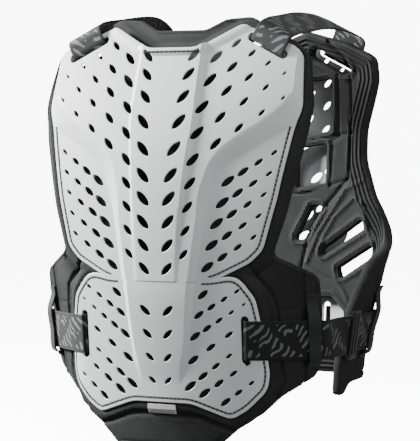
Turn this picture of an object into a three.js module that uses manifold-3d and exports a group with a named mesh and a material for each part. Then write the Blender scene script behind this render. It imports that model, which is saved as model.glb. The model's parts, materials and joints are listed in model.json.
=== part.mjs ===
// Roost deflector: a body protector of two armour panels joined over the shoulders and round the waist.
// Each panel is a padded foam liner under an upper and a lower moulded plate, pierced with lens slots.
// Millimetres, +X to the wearer's side, front panel at -Y, +Z up. The origin lies midway between the
// undersides of the two shoulder straps at their highest station.
import * as THREE from 'three';
import { mergeVertices } from 'three/addons/utils/BufferGeometryUtils.js';
import Module from 'manifold-3d';

const wasm = await Module();
wasm.setup();

// Driving dimensions, in millimetres and degrees
const UPPER_PLATE_HEIGHT = 303;    // waist line to shoulder peak
const FRONT_LOWER_HEIGHT = 147.5;  // waist line to lower corner
const BACK_LOWER_HEIGHT = 106;
const WAIST_Z = -70;               // waist line against the level where the torso is deepest
const PLATE_HALF_WIDTH = 164;      // front upper plate at its widest
const BACK_HALF_WIDTH = 164;       // width that the back panel's shares refer to
const LOWER_HALF_WIDTH = 130;      // lower plates at their widest
const FRONT_DEPTH = 135;           // torso centre to the front plates
const BACK_DEPTH = 137;            // torso centre to the back plates
const FRONT_BOW = 9;               // how far a plate falls back at the bow's reach
const BACK_BOW = 4.5;
const BOW_REACH = 100;             // distance from the centre line at which a bow is measured
const FRONT_CORNER_OFFSET = 104;   // where the front panel starts to turn round the waist
const FRONT_CORNER_RADIUS = 70;
const FRONT_CORNER_TURN = 19;
const BACK_CORNER_OFFSET = 172;
const BACK_CORNER_RADIUS = 40;
const BACK_CORNER_TURN = 79;
const PLATE_WALL = 2.6;
const FOAM_THICKNESS = 12;
const FOAM_GAP = 1.5;              // air between a plate's low level and the foam
const OUTER_RIDGE = 6;             // step of the diagonal ridges
const INNER_RIDGE = 4;             // step beside the centre strip
const INNER_FADE_LEVEL = 0.5;      // level under which that step starts to fade
const INNER_FADE_LEAST = 0.15;     // what is left of it at the waist line
const WAIST_GAP = 1.2;             // gap between upper and lower plate
const SLOT_LENGTH = 22;            // largest lens slot
const SLOT_ASPECT = 0.38;
const SLOT_TILT = 50;
const FRONT_UPPER_CUT = 18.5;      // shorter slots stay uncut in these solids
const BACK_UPPER_CUT = 19.6;
const LOWER_CUT = 16;
const STRAP_WIDTH = 45;
const STRAP_THICKNESS = 2;
const STRAP_CLEARANCE = 0.4;
const STRAP_SLOT_WIDTH = 9;
const STRAP_SLOT_MARGIN = 5;       // slot beyond each edge of a strap
const LINER_SLOT_WIDTH = 13;       // the same slot through the foam
const SIDE_STRAP_DROP = 57;        // strap's centre line under the waist line
const SIDE_SLOT_INSET = 26;        // side slot in from the lower plate's widest
const SHOULDER_STRAP_INSET = 49;   // shoulder strap's centre in from the upper plate's widest
const SHOULDER_SLOT_DROP = 29;     // slot's centre under the peaks
const BACK_SLOT_DROP = 37;
const SHOULDER_TILT = 27;          // straps slope down outwards
const SLOT_DIP = 2;                // a strap's end under the middle of its slot
const SLOT_LIP = 0.5;              // where it passes the plate's face
const STRAP_TURN = 5;              // where it has turned along the plate
const FRONT_STRAP_RUN = 17;        // where it leaves the front plate
const BACK_STRAP_RUN = 33;
const STRAP_SPRING = 1;            // how far it has lifted there
const SHOULDER_SWAY = 5;           // straps bow outwards by this much over the shoulder
const SHOULDER_RISE = 7;           // strap's top over the peaks
const SHOULDER_TOP_Y = 45;         // where the strap is highest, behind the torso's centre
const KEEPER_WIDTH = 14;
const KEEPER_HEIGHT = 84;
const KEEPER_THICKNESS = 2;
const KEEPER_CLEARANCE = 1.2;      // room for the strap under a keeper
const KEEPER_RISE = 9;             // keeper's centre over the strap's centre line
const FRONT_KEEPER_INSET = 12;     // keeper's centre from the liner's edge
const BACK_KEEPER_INSET = 56;
const BUCKLE_LENGTH = 22;
const BUCKLE_HEIGHT = 58;
const BUCKLE_THICKNESS = 3.6;
const BUCKLE_BAR = 4;
const BUCKLE_CLEARANCE = 1;
const BUCKLE_SIDE_Y = 8;           // buckle's centre on the wearer's side
const LABEL_WIDTH = 36;
const LABEL_HEIGHT = 11;
const LABEL_THICKNESS = 1.2;
const LABEL_INSET = 2;             // label's top under the lower plate's edge

const RADIAN = Math.PI / 180;
// Windows in the back liner: corners as x shares of the panel's width and levels
const BACK_WINDOWS = [
  { name: 'chest', corners: [[0.42, 0.795], [0.695, 0.805], [0.675, 0.600], [0.42, 0.575]] },
  { name: 'rib', corners: [[0.40, 0.525], [0.640, 0.545], [0.622, 0.385], [0.38, 0.365]] },
  { name: 'lean', corners: [[0.515, 0.290], [0.600, 0.290], [0.455, 0.150], [0.380, 0.150]] },
  { name: 'long',
    corners: [[0.580, 0.115], [0.625, 0.160], [0.930, 0.250], [0.945, 0.208], [0.610, 0.090]] },
  { name: 'side',
    corners: [[0.755, -0.020], [0.790, 0.045], [1.045, 0.130], [1.060, 0.090], [0.790, -0.050]] },
  { name: 'low', corners: [[0.430, -0.170], [0.690, -0.170], [0.815, -0.310], [0.780, -0.400], [0.430, -0.420]] },
];
const PANELS = {
  front: { way: -1, lower: FRONT_LOWER_HEIGHT, depth: FRONT_DEPTH, bow: FRONT_BOW, width: PLATE_HALF_WIDTH,
    upperCut: FRONT_UPPER_CUT, slotDrop: SHOULDER_SLOT_DROP, keeperInset: FRONT_KEEPER_INSET,
    windows: [],
    corner: FRONT_CORNER_OFFSET, radius: FRONT_CORNER_RADIUS, turn: FRONT_CORNER_TURN * RADIAN },
  back: { way: 1, lower: BACK_LOWER_HEIGHT, depth: BACK_DEPTH, bow: BACK_BOW, width: BACK_HALF_WIDTH,
    upperCut: BACK_UPPER_CUT, slotDrop: BACK_SLOT_DROP, keeperInset: BACK_KEEPER_INSET,
    windows: BACK_WINDOWS,
    corner: BACK_CORNER_OFFSET, radius: BACK_CORNER_RADIUS, turn: BACK_CORNER_TURN * RADIAN },
};

// The torso form. level: 1 is the shoulder peak, 0 the waist line, -1 the lower plate's corner.
// The other columns are shares of the panel's depth, bow and corner start.
const TORSO = [
  { level: 1.06, front: 0.50, frontBow: 0.50, frontCorner: 1.7, back: 0.87, backBow: 1.0, backCorner: 1.0 },
  { level: 0.89, front: 0.67, frontBow: 0.59, frontCorner: 1.7, back: 0.93, backBow: 1.0, backCorner: 1.0 },
  { level: 0.66, front: 0.854, frontBow: 0.73, frontCorner: 1.7, back: 0.975, backBow: 1.0, backCorner: 1.0 },
  { level: 0.43, front: 0.96, frontBow: 0.88, frontCorner: 1.6, back: 1.0, backBow: 1.0, backCorner: 1.0 },
  { level: 0.23, front: 1.0, frontBow: 1.0, frontCorner: 1.4, back: 0.99, backBow: 1.0, backCorner: 1.04 },
  { level: 0.0, front: 1.004, frontBow: 1.14, frontCorner: 1.12, back: 0.95, backBow: 1.0, backCorner: 0.93 },
  { level: -0.4, front: 0.983, frontBow: 1.3, frontCorner: 1.0, back: 0.905, backBow: 1.0, backCorner: 0.84 },
  { level: -0.88, front: 0.947, frontBow: 1.5, frontCorner: 1.0, back: 0.86, backBow: 1.0, backCorner: 0.80 },
  { level: -1.3, front: 0.91, frontBow: 1.6, frontCorner: 1.0, back: 0.83, backBow: 1.0, backCorner: 0.80 },
];

// Upper plate, a row for each section: lines of the two ridges and the edge, as shares of the half width
const UPPER_ROWS = [
  { level: 0.820, crestIn: 0.229, footIn: 0.265, crestOut: 0.925, footOut: 0.985, edge: 0.985, back: 0.985 },
  { level: 0.726, crestIn: 0.232, footIn: 0.268, crestOut: 0.921, footOut: 0.998, edge: 0.998, back: 0.945 },
  { level: 0.680, crestIn: 0.235, footIn: 0.271, crestOut: 0.860, footOut: 1.000, edge: 1.000, back: 0.925 },
  { level: 0.620, crestIn: 0.232, footIn: 0.268, crestOut: 0.710, footOut: 0.966, edge: 0.966, back: 0.905 },
  { level: 0.584, crestIn: 0.229, footIn: 0.262, crestOut: 0.598, footOut: 0.860, edge: 0.942, back: 0.895 },
  { level: 0.531, crestIn: 0.213, footIn: 0.247, crestOut: 0.463, footOut: 0.683, edge: 0.921, back: 0.885 },
  { level: 0.479, crestIn: 0.204, footIn: 0.238, crestOut: 0.384, footOut: 0.530, edge: 0.905, back: 0.885 },
  { level: 0.429, crestIn: 0.195, footIn: 0.229, crestOut: 0.348, footOut: 0.448, edge: 0.890, back: 0.890 },
  { level: 0.350, crestIn: 0.183, footIn: 0.213, crestOut: 0.311, footOut: 0.396, edge: 0.860, back: 0.860 },
  { level: 0.264, crestIn: 0.171, footIn: 0.201, crestOut: 0.296, footOut: 0.360, edge: 0.823, back: 0.823 },
];
// Upper plate's top and bottom edges, an x share and a level for each column of the grid
const UPPER_TOP = [
  { x: 0.000, level: 0.896 }, { x: 0.167, level: 0.898 }, { x: 0.230, level: 0.924 },
  { x: 0.494, level: 1.000 }, { x: 0.740, level: 0.938 }, { x: 0.915, level: 0.900 },
  { x: 0.957, level: 0.884 }, { x: 0.957, level: 0.884 }, { x: 0.957, level: 0.884 },
];
const UPPER_BOTTOM = [
  { x: 0.000, level: 0.000 }, { x: 0.138, level: 0.003 }, { x: 0.159, level: 0.005 },
  { x: 0.195, level: 0.010 }, { x: 0.213, level: 0.013 }, { x: 0.229, level: 0.016 },
  { x: 0.280, level: 0.020 }, { x: 0.630, level: 0.085 }, { x: 0.768, level: 0.157 },
];
// Lower plate, shares of its own half width; step: height of the ridge that runs down from the upper plate
const LOWER_ROWS = [
  { level: -0.070, crest: 0.277, foot: 0.338, edge: 0.900, step: 1.0 },
  { level: -0.200, crest: 0.265, foot: 0.323, edge: 0.940, step: 0.85 },
  { level: -0.390, crest: 0.246, foot: 0.292, edge: 0.977, step: 0.6 },
  { level: -0.580, crest: 0.215, foot: 0.250, edge: 1.004, step: 0.3 },
  { level: -0.750, crest: 0.185, foot: 0.200, edge: 0.992, step: 0.0 },
  { level: -0.860, crest: 0.185, foot: 0.230, edge: 0.880, step: 0.0 },
];
const LOWER_TOP = [
  { x: 0.000, level: 0.000 }, { x: 0.138, level: 0.003 }, { x: 0.288, level: 0.016 },
  { x: 0.353, level: 0.022 }, { x: 0.480, level: 0.035 }, { x: 0.610, level: 0.050 },
  { x: 0.723, level: 0.061 }, { x: 0.723, level: 0.061 },
];
const LOWER_BOTTOM = [
  { x: 0.000, level: -0.895 }, { x: 0.090, level: -0.895 }, { x: 0.185, level: -0.895 },
  { x: 0.285, level: -0.895 }, { x: 0.440, level: -0.940 }, { x: 0.560, level: -0.974 },
  { x: 0.654, level: -1.000 }, { x: 0.800, level: -0.925 },
];
// Columns of the lower plate between the foot of its ridge and its edge
const LOWER_COLUMNS = [0.4, 0.68, 0.86];
// Liner, a row for each section: half widths as shares of the panel's width, measured round the form
const FRONT_LINER_ROWS = [
  { level: 0.800, half: 1.048 }, { level: 0.677, half: 1.067 }, { level: 0.560, half: 1.024 },
  { level: 0.340, half: 0.945 }, { level: 0.140, half: 0.838 },
  { level: 0.085, half: 0.990 }, { level: 0.050, half: 1.140 }, { level: -0.070, half: 1.190 },
  { level: -0.330, half: 1.195 }, { level: -0.600, half: 1.180 },
  { level: -0.700, half: 1.120 }, { level: -0.820, half: 0.900 }, { level: -0.950, half: 0.760 },
  { level: -1.080, half: 0.560 }, { level: -1.180, half: 0.460 },
];
const BACK_LINER_ROWS = [
  { level: 0.810, half: 1.090 }, { level: 0.670, half: 1.000 }, { level: 0.520, half: 0.960 },
  { level: 0.420, half: 0.985 }, { level: 0.333, half: 1.045 }, { level: 0.244, half: 1.150 },
  { level: 0.140, half: 1.290 }, { level: 0.105, half: 1.460 }, { level: 0.050, half: 1.575 },
  { level: -0.060, half: 1.590 }, { level: -0.300, half: 1.610 }, { level: -0.700, half: 1.590 },
  { level: -0.960, half: 1.500 },
];
const FRONT_LINER_TOP = [
  { x: 0.000, level: 0.989 }, { x: 0.190, level: 0.991 }, { x: 0.330, level: 1.024 },
  { x: 0.500, level: 1.036 }, { x: 0.660, level: 0.992 }, { x: 0.800, level: 0.958 },
  { x: 0.905, level: 0.925 }, { x: 0.975, level: 0.885 },
];
const BACK_LINER_TOP = [
  { x: 0.000, level: 0.950 }, { x: 0.200, level: 0.950 }, { x: 0.360, level: 0.990 },
  { x: 0.500, level: 1.020 }, { x: 0.680, level: 0.992 }, { x: 0.850, level: 0.957 },
  { x: 0.980, level: 0.926 }, { x: 1.060, level: 0.895 },
];
const FRONT_LINER_BOTTOM = { middle: -1.275, side: -1.255, half: 0.400 };
const BACK_LINER_BOTTOM = { middle: -1.095, side: -1.215, half: 1.440 };
const LINER_COLUMNS = [0, 0.18, 0.36, 0.53, 0.62, 0.7, 0.78, 1];

// Rows of lens slots from the centre outwards: ends as x shares and levels, lengths as shares of SLOT_LENGTH
const UPPER_SLOTS = [
  { x0: 0.177, level0: 0.868, x1: 0.177, level1: 0.868, count: 1, big: 0.80, small: 0.80 },
  { x0: 0.161, level0: 0.797, x1: 0.161, level1: 0.797, count: 1, big: 0.84, small: 0.84 },
  { x0: 0.146, level0: 0.713, x1: 0.146, level1: 0.713, count: 1, big: 0.90, small: 0.90 },
  { x0: 0.137, level0: 0.620, x1: 0.137, level1: 0.620, count: 1, big: 0.98, small: 0.98 },
  { x0: 0.119, level0: 0.520, x1: 0.119, level1: 0.520, count: 1, big: 1.00, small: 1.00 },
  { x0: 0.107, level0: 0.422, x1: 0.099, level1: 0.336, count: 2, big: 1.00, small: 1.00 },
  { x0: 0.096, level0: 0.250, x1: 0.087, level1: 0.075, count: 3, big: 0.96, small: 0.84 },
  { x0: 0.471, level0: 0.916, x1: 0.852, level1: 0.801, count: 4, big: 0.62, small: 0.26 },
  { x0: 0.337, level0: 0.865, x1: 0.865, level1: 0.710, count: 5, big: 0.84, small: 0.30 },
  { x0: 0.318, level0: 0.778, x1: 0.726, level1: 0.656, count: 4, big: 0.90, small: 0.44 },
  { x0: 0.290, level0: 0.677, x1: 0.574, level1: 0.600, count: 3, big: 0.90, small: 0.62 },
  { x0: 0.274, level0: 0.581, x1: 0.416, level1: 0.541, count: 2, big: 0.90, small: 0.80 },
  { x0: 0.257, level0: 0.482, x1: 0.210, level1: 0.130, count: 5, big: 0.88, small: 0.66 },
  { x0: 0.509, level0: 0.405, x1: 0.827, level1: 0.512, count: 4, big: 0.86, small: 0.40 },
  { x0: 0.476, level0: 0.325, x1: 0.799, level1: 0.434, count: 4, big: 0.88, small: 0.40 },
  { x0: 0.437, level0: 0.247, x1: 0.768, level1: 0.356, count: 4, big: 0.88, small: 0.40 },
  { x0: 0.403, level0: 0.166, x1: 0.736, level1: 0.277, count: 4, big: 0.86, small: 0.40 },
  { x0: 0.371, level0: 0.084, x1: 0.702, level1: 0.198, count: 4, big: 0.84, small: 0.40 },
];
const LOWER_SLOTS = [
  { x0: 0.110, level0: -0.170, x1: 0.077, level1: -0.719, count: 4, big: 0.76, small: 0.52 },
  { x0: 0.425, level0: -0.041, x1: 0.425, level1: -0.041, count: 1, big: 0.72, small: 0.72 },
  { x0: 0.385, level0: -0.198, x1: 0.736, level1: -0.009, count: 4, big: 0.66, small: 0.36 },
  { x0: 0.345, level0: -0.365, x1: 0.794, level1: -0.109, count: 5, big: 0.72, small: 0.24 },
  { x0: 0.322, level0: -0.549, x1: 0.655, level1: -0.345, count: 3, big: 0.74, small: 0.52 },
  { x0: 0.288, level0: -0.754, x1: 0.650, level1: -0.510, count: 4, big: 0.80, small: 0.40 },
  { x0: 0.418, level0: -0.805, x1: 0.818, level1: -0.566, count: 4, big: 0.78, small: 0.34 },
  { x0: 0.606, level0: -0.869, x1: 0.841, level1: -0.717, count: 3, big: 0.66, small: 0.36 },
];
// A column of a table at a level, on a smooth curve through its rows, which run from top to bottom
function along(rows, column, level) {
  let i = 0;
  while (i < rows.length - 2 && level < rows[i + 1].level) i += 1;
  const slope = (k) => {
    const a = rows[Math.max(k - 1, 0)];
    const b = rows[Math.min(k + 1, rows.length - 1)];
    return (b[column] - a[column]) / (b.level - a.level);
  };
  const span = rows[i + 1].level - rows[i].level;
  const t = (level - rows[i].level) / span;
  const from = rows[i][column];
  const to = rows[i + 1][column];
  if (t < 0) return from + slope(i) * span * t;
  if (t > 1) return to + slope(i + 1) * span * (t - 1);
  const ease = t * t * (3 - 2 * t);
  return from + (to - from) * ease
    + slope(i) * span * t * (1 - t) * (1 - t) - slope(i + 1) * span * t * t * (1 - t);
}

// A column of a table at a level, on straight lines between its rows
function between(rows, column, level) {
  let i = 0;
  while (i < rows.length - 2 && level < rows[i + 1].level) i += 1;
  const t = (level - rows[i].level) / (rows[i + 1].level - rows[i].level);
  return rows[i][column] + (rows[i + 1][column] - rows[i][column]) * t;
}

const heightAt = (panel, level) => WAIST_Z + level * (level > 0 ? UPPER_PLATE_HEIGHT : panel.lower);
const levelAt = (panel, z) => (z - WAIST_Z) / (z > WAIST_Z ? UPPER_PLATE_HEIGHT : panel.lower);

// A stretch of a section that starts at an angle and bends evenly
function bend(point, length, curvature) {
  const end = point.angle + curvature * length;
  const straight = Math.abs(curvature) < 1e-9;
  const dx = straight ? length * Math.cos(point.angle) : (Math.sin(end) - Math.sin(point.angle)) / curvature;
  const dy = straight ? length * Math.sin(point.angle) : (Math.cos(point.angle) - Math.cos(end)) / curvature;
  return { x: point.x + dx, y: point.y + dy, angle: end };
}

// The form's surface at a distance s round the section from the centre line
function onForm(panel, s, z) {
  const side = panel.way < 0 ? 'front' : 'back';
  // The front's shares follow the whole panel, so the back borrows their levels below the waist too
  const level = levelAt(PANELS.front, z);
  const curvature = 2 * panel.bow * along(TORSO, side + 'Bow', level) / BOW_REACH ** 2;
  const corner = panel.corner * along(TORSO, side + 'Corner', level);
  const reach = Math.abs(s);
  const turning = panel.turn * panel.radius;
  let point = bend({ x: 0, y: 0, angle: 0 }, Math.min(reach, corner), curvature);
  if (reach > corner) point = bend(point, Math.min(reach - corner, turning), curvature + 1 / panel.radius);
  if (reach > corner + turning) point = bend(point, reach - corner - turning, curvature * 0.5);
  const depth = panel.depth * along(TORSO, side, level);
  return new THREE.Vector3(Math.sign(s) * point.x, panel.way * (depth - point.y), z);
}

// The direction out of the form at a point of it
function outOf(panel, s, z) {
  const step = 0.5;
  const across = onForm(panel, s + step, z).sub(onForm(panel, s - step, z));
  const up = onForm(panel, s, z + step).sub(onForm(panel, s, z - step));
  return across.cross(up).normalize().multiplyScalar(-panel.way);
}

// A point over the form: s round the section, z up, lift outwards
const place = (panel, s, z, lift) => onForm(panel, s, z).addScaledVector(outOf(panel, s, z), lift);

// A closed solid from a grid of stations, each with an outer and an inner point
function slab(grid) {
  const rows = grid.length;
  const columns = grid[0].length;
  const points = [];
  for (const row of grid) for (const cell of row) points.push(cell.outer, cell.inner);
  const index = (i, j, inner) => (i * columns + j) * 2 + inner;
  const faces = [];
  const quad = (a, b, c, d) => faces.push([a, b, c], [a, c, d]);
  for (let i = 0; i < rows - 1; i += 1) {
    for (let j = 0; j < columns - 1; j += 1) {
      quad(index(i, j, 0), index(i + 1, j, 0), index(i + 1, j + 1, 0), index(i, j + 1, 0));
      quad(index(i, j, 1), index(i, j + 1, 1), index(i + 1, j + 1, 1), index(i + 1, j, 1));
    }
    quad(index(i, 0, 0), index(i, 0, 1), index(i + 1, 0, 1), index(i + 1, 0, 0));
    const last = columns - 1;
    quad(index(i, last, 0), index(i + 1, last, 0), index(i + 1, last, 1), index(i, last, 1));
  }
  for (let j = 0; j < columns - 1; j += 1) {
    quad(index(0, j, 0), index(0, j + 1, 0), index(0, j + 1, 1), index(0, j, 1));
    const end = rows - 1;
    quad(index(end, j, 0), index(end, j, 1), index(end, j + 1, 1), index(end, j + 1, 0));
  }
  return closed(points, faces);
}

// A geometry from points and triangles: shared points merged, empty triangles dropped, faces outwards
function closed(points, faces) {
  const raw = new THREE.BufferGeometry();
  const numbers = points.flatMap((p) => [p.x, p.y, p.z]);
  raw.setAttribute('position', new THREE.Float32BufferAttribute(numbers, 3));
  raw.setIndex(faces.flat());
  const merged = mergeVertices(raw, 1e-3);
  const order = merged.index.array;
  const kept = [];
  for (let k = 0; k < order.length; k += 3) {
    const [a, b, c] = [order[k], order[k + 1], order[k + 2]];
    if (a !== b && b !== c && a !== c) kept.push(a, b, c);
  }
  const at = (i) => new THREE.Vector3().fromBufferAttribute(merged.attributes.position, i);
  let volume = 0;
  for (let k = 0; k < kept.length; k += 3) {
    volume += at(kept[k]).dot(at(kept[k + 1]).cross(at(kept[k + 2])));
  }
  if (volume < 0) kept.reverse();
  merged.setIndex(kept);
  return merged;
}

// A prism over an outline in the form's own coordinates, from one lift to another
function prism(panel, outline, low, high) {
  const flat = outline.map(([s, z]) => new THREE.Vector2(s, z));
  if (THREE.ShapeUtils.isClockWise(flat)) flat.reverse();
  const count = flat.length;
  const points = [low, high].flatMap((lift) => flat.map((p) => place(panel, p.x, p.y, lift)));
  const faces = [];
  for (const [a, b, c] of THREE.ShapeUtils.triangulateShape(flat, [])) {
    faces.push([a, c, b], [a + count, b + count, c + count]);
  }
  for (let k = 0; k < count; k += 1) {
    const next = (k + 1) % count;
    faces.push([k, next, next + count], [k, next + count, k + count]);
  }
  return closed(points, faces);
}

function toSolid(geometry) {
  return new wasm.Manifold(new wasm.Mesh({
    numProp: 3,
    vertProperties: new Float32Array(geometry.attributes.position.array),
    triVerts: new Uint32Array(geometry.index.array),
  }));
}

// A geometry with every cutter taken out of it
function cut(geometry, cutters) {
  let solid = toSolid(geometry);
  for (const cutter of cutters) solid = solid.subtract(toSolid(cutter));
  const mesh = solid.getMesh();
  const result = new THREE.BufferGeometry();
  result.setAttribute('position', new THREE.BufferAttribute(mesh.vertProperties, 3));
  result.setIndex(new THREE.BufferAttribute(mesh.triVerts, 1));
  return result;
}

// Half a row of grid stations mirrored to a whole one
const mirrored = (half) => [...half.slice(1).reverse().map((c) => ({ ...c, s: -c.s })), ...half];

const shell = (panel, rows, wall) => slab(rows.map((row) => mirrored(row).map((c) => ({
  outer: place(panel, c.s, c.z, c.lift),
  inner: place(panel, c.s, c.z, c.lift - wall),
}))));

// Lens slot: two tips and two points on each side, as shares of its length and width
const LENS = [
  { run: -0.5, side: 0 }, { run: -0.2, side: -0.46 }, { run: 0.2, side: -0.46 },
  { run: 0.5, side: 0 }, { run: 0.2, side: 0.46 }, { run: -0.2, side: 0.46 },
];
function lens(s, z, length) {
  const hand = Math.sign(s);
  const lengthwise = new THREE.Vector2(Math.cos(SLOT_TILT * RADIAN) * hand, Math.sin(SLOT_TILT * RADIAN));
  const across = new THREE.Vector2(-lengthwise.y, lengthwise.x);
  const width = length * SLOT_ASPECT;
  return LENS.map(({ run, side }) => [
    s + lengthwise.x * run * length + across.x * side * width,
    z + lengthwise.y * run * length + across.y * side * width,
  ]);
}

// Cutters for the larger slots of a table, on both sides of the centre line
const CUT_REACH = OUTER_RIDGE + INNER_RIDGE + PLATE_WALL + FOAM_GAP;
function slotCutters(panel, table, half, shortest) {
  const cutters = [];
  for (const row of table) {
    for (let k = 0; k < row.count; k += 1) {
      const t = row.count > 1 ? k / (row.count - 1) : 0;
      const length = SLOT_LENGTH * THREE.MathUtils.lerp(row.big, row.small, t);
      if (length < shortest) continue;
      const s = half * THREE.MathUtils.lerp(row.x0, row.x1, t);
      const z = heightAt(panel, THREE.MathUtils.lerp(row.level0, row.level1, t));
      for (const side of [-1, 1]) {
        cutters.push(prism(panel, lens(side * s, z, length), -CUT_REACH, CUT_REACH));
      }
    }
  }
  return cutters;
}

// A rectangle in the form's coordinates, turned about its centre
function turnedBox(s, z, length, width, angle) {
  const a = new THREE.Vector2(Math.cos(angle), Math.sin(angle)).multiplyScalar(length / 2);
  const b = new THREE.Vector2(-Math.sin(angle), Math.cos(angle)).multiplyScalar(width / 2);
  return [[-1, -1], [1, -1], [1, 1], [-1, 1]].map(([i, j]) => [s + i * a.x + j * b.x, z + i * a.y + j * b.y]);
}

const SHOULDER_STRAP_X = PLATE_HALF_WIDTH - SHOULDER_STRAP_INSET;
const SIDE_SLOT_S = LOWER_HALF_WIDTH - SIDE_SLOT_INSET;
const shoulderSlotZ = (panel) => heightAt(panel, 1) - panel.slotDrop;
const SIDE_STRAP_Z = WAIST_Z - SIDE_STRAP_DROP;
const SLOT_SPAN = STRAP_WIDTH + 2 * STRAP_SLOT_MARGIN;

// Upper plate: the centre strip highest, the sides a step lower, the flanks under the diagonal ridge lowest
function upperPlate(panel) {
  const isBack = panel.way > 0;
  const row = (r) => {
    const edge = isBack ? r.back : r.edge;
    const outer = edge / r.edge;
    const xs = [0, r.crestIn, r.footIn, (r.footIn + r.crestOut * outer) / 2, null, r.crestOut * outer,
      r.footOut * outer, null, edge];
    xs[4] = (xs[3] + xs[5]) / 2;
    xs[7] = (xs[6] + xs[8]) / 2;
    return xs.map((x) => ({ x, level: r.level }));
  };
  const sections = [UPPER_TOP, ...UPPER_ROWS.map(row), UPPER_BOTTOM];
  const fade = (level) => THREE.MathUtils.clamp(level / INNER_FADE_LEVEL, INNER_FADE_LEAST, 1);
  const step = (j, level) => (j <= 5 ? OUTER_RIDGE : 0) + (j <= 1 ? INNER_RIDGE * fade(level) : 0);
  const grid = sections.map((section) => section.map((c, j) => ({
    s: c.x * panel.width,
    z: heightAt(panel, c.level),
    lift: step(j, c.level),
  })));
  const slots = [-1, 1].map((side) => prism(panel, turnedBox(side * SHOULDER_STRAP_X, shoulderSlotZ(panel),
    SLOT_SPAN, STRAP_SLOT_WIDTH, -side * SHOULDER_TILT * RADIAN), -CUT_REACH, CUT_REACH));
  const lenses = slotCutters(panel, UPPER_SLOTS, panel.width, panel.upperCut);
  return cut(shell(panel, grid, PLATE_WALL), [...slots, ...lenses]);
}

// Lower plate: the diagonal ridges run on down it and die out, with a slot for the side strap near each edge
function lowerPlate(panel) {
  const row = (r) => [0, r.crest / 2, r.crest, r.foot,
    ...LOWER_COLUMNS.map((share) => THREE.MathUtils.lerp(r.foot, r.edge, share)), r.edge]
    .map((x, j) => ({ x, level: r.level, lift: j <= 2 ? OUTER_RIDGE * r.step : 0 }));
  const edgeRow = (table, high) => table.map((c, j) => ({ ...c, lift: j <= 2 ? OUTER_RIDGE * high : 0 }));
  const top = edgeRow(LOWER_TOP, 1);
  const bottom = edgeRow(LOWER_BOTTOM, 0);
  const drop = (level) => (level >= 0 ? WAIST_GAP : 0);
  const grid = [top, ...LOWER_ROWS.map(row), bottom].map((section) => section.map((c) => ({
    s: c.x * LOWER_HALF_WIDTH,
    z: heightAt(panel, c.level) - drop(c.level),
    lift: c.lift,
  })));
  const slots = [-1, 1].map((side) => prism(panel,
    turnedBox(side * SIDE_SLOT_S, SIDE_STRAP_Z, STRAP_SLOT_WIDTH, SLOT_SPAN, 0), -CUT_REACH, CUT_REACH));
  const lenses = slotCutters(panel, LOWER_SLOTS, LOWER_HALF_WIDTH, LOWER_CUT);
  return cut(shell(panel, grid, PLATE_WALL), [...slots, ...lenses]);
}

// Liner: foam under the plates that stands out round them and wraps the waist in two wings
function liner(panel, rows, top, bottom) {
  const face = -(PLATE_WALL + FOAM_GAP);
  const station = (s, z) => ({ s, z, lift: face });
  const grid = [
    top.map((c) => station(c.x * panel.width, heightAt(panel, c.level))),
    ...rows.map((r) => LINER_COLUMNS.map((u) => station(u * r.half * panel.width, heightAt(panel, r.level)))),
    LINER_COLUMNS.map((u) => station(u * bottom.half * panel.width,
      heightAt(panel, THREE.MathUtils.lerp(bottom.middle, bottom.side, u * u)))),
  ];
  const windows = panel.windows.flatMap(({ corners }) => [-1, 1].map((side) => prism(panel,
    corners.map(([x, level]) => [side * x * panel.width, heightAt(PANELS.front, level)]),
    face - FOAM_THICKNESS - FOAM_GAP, 0)));
  const slots = [-1, 1].map((side) => prism(panel, turnedBox(side * SHOULDER_STRAP_X, shoulderSlotZ(panel),
    SLOT_SPAN, LINER_SLOT_WIDTH, -side * SHOULDER_TILT * RADIAN), face - FOAM_THICKNESS - FOAM_GAP, 0));
  return cut(shell(panel, grid, FOAM_THICKNESS), [...windows, ...slots]);
}

// A flat band through stations: centre, direction across its width and direction out of its face
function band(stations, width, thickness) {
  const grid = stations.map(({ centre, across, out }) => [-0.5, 0.5].map((w) => {
    const edge = centre.clone().addScaledVector(across, w * width);
    return {
      outer: edge.clone().addScaledVector(out, thickness / 2),
      inner: edge.clone().addScaledVector(out, -thickness / 2),
    };
  }));
  return slab(grid);
}

// Stations along part of a smooth curve, with the band's width direction given at each of its points
function stationsOn(route, from, to, count) {
  const curve = new THREE.CatmullRomCurve3(route.map((r) => r.centre), false, 'centripetal');
  const widths = new THREE.CatmullRomCurve3(route.map((r) => r.across), false, 'centripetal');
  return Array.from({ length: count + 1 }, (_, k) => {
    const t = THREE.MathUtils.lerp(from, to, k / count);
    const ahead = curve.getTangent(t);
    const across = widths.getPoint(t).normalize();
    return { centre: curve.getPoint(t), across, out: ahead.clone().cross(across).normalize() };
  });
}

// The steepest way up the form at a point of it
function upOn(panel, s, z) {
  const out = outOf(panel, s, z);
  return new THREE.Vector3(0, 0, 1).addScaledVector(out, -out.z).normalize();
}

// Shoulder strap's run out of a slot: rise over the slot's centre, and ride of its middle over the ridges
const STRAP_LIFT = STRAP_CLEARANCE + STRAP_THICKNESS / 2;
const SHOULDER_RIDE = STRAP_LIFT + STRAP_THICKNESS / 2;
const FRONT_RUN = [
  { rise: -SLOT_DIP, ride: -PLATE_WALL }, { rise: -SLOT_LIP, ride: SLOT_LIP },
  { rise: STRAP_TURN, ride: SHOULDER_RIDE },
  { rise: FRONT_STRAP_RUN, ride: SHOULDER_RIDE + 2 * STRAP_SPRING },
];
const BACK_RUN = [
  { rise: BACK_STRAP_RUN, ride: SHOULDER_RIDE + STRAP_SPRING }, { rise: STRAP_TURN, ride: SHOULDER_RIDE },
  { rise: -SLOT_LIP, ride: SLOT_LIP }, { rise: -SLOT_DIP, ride: -PLATE_WALL },
];
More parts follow.
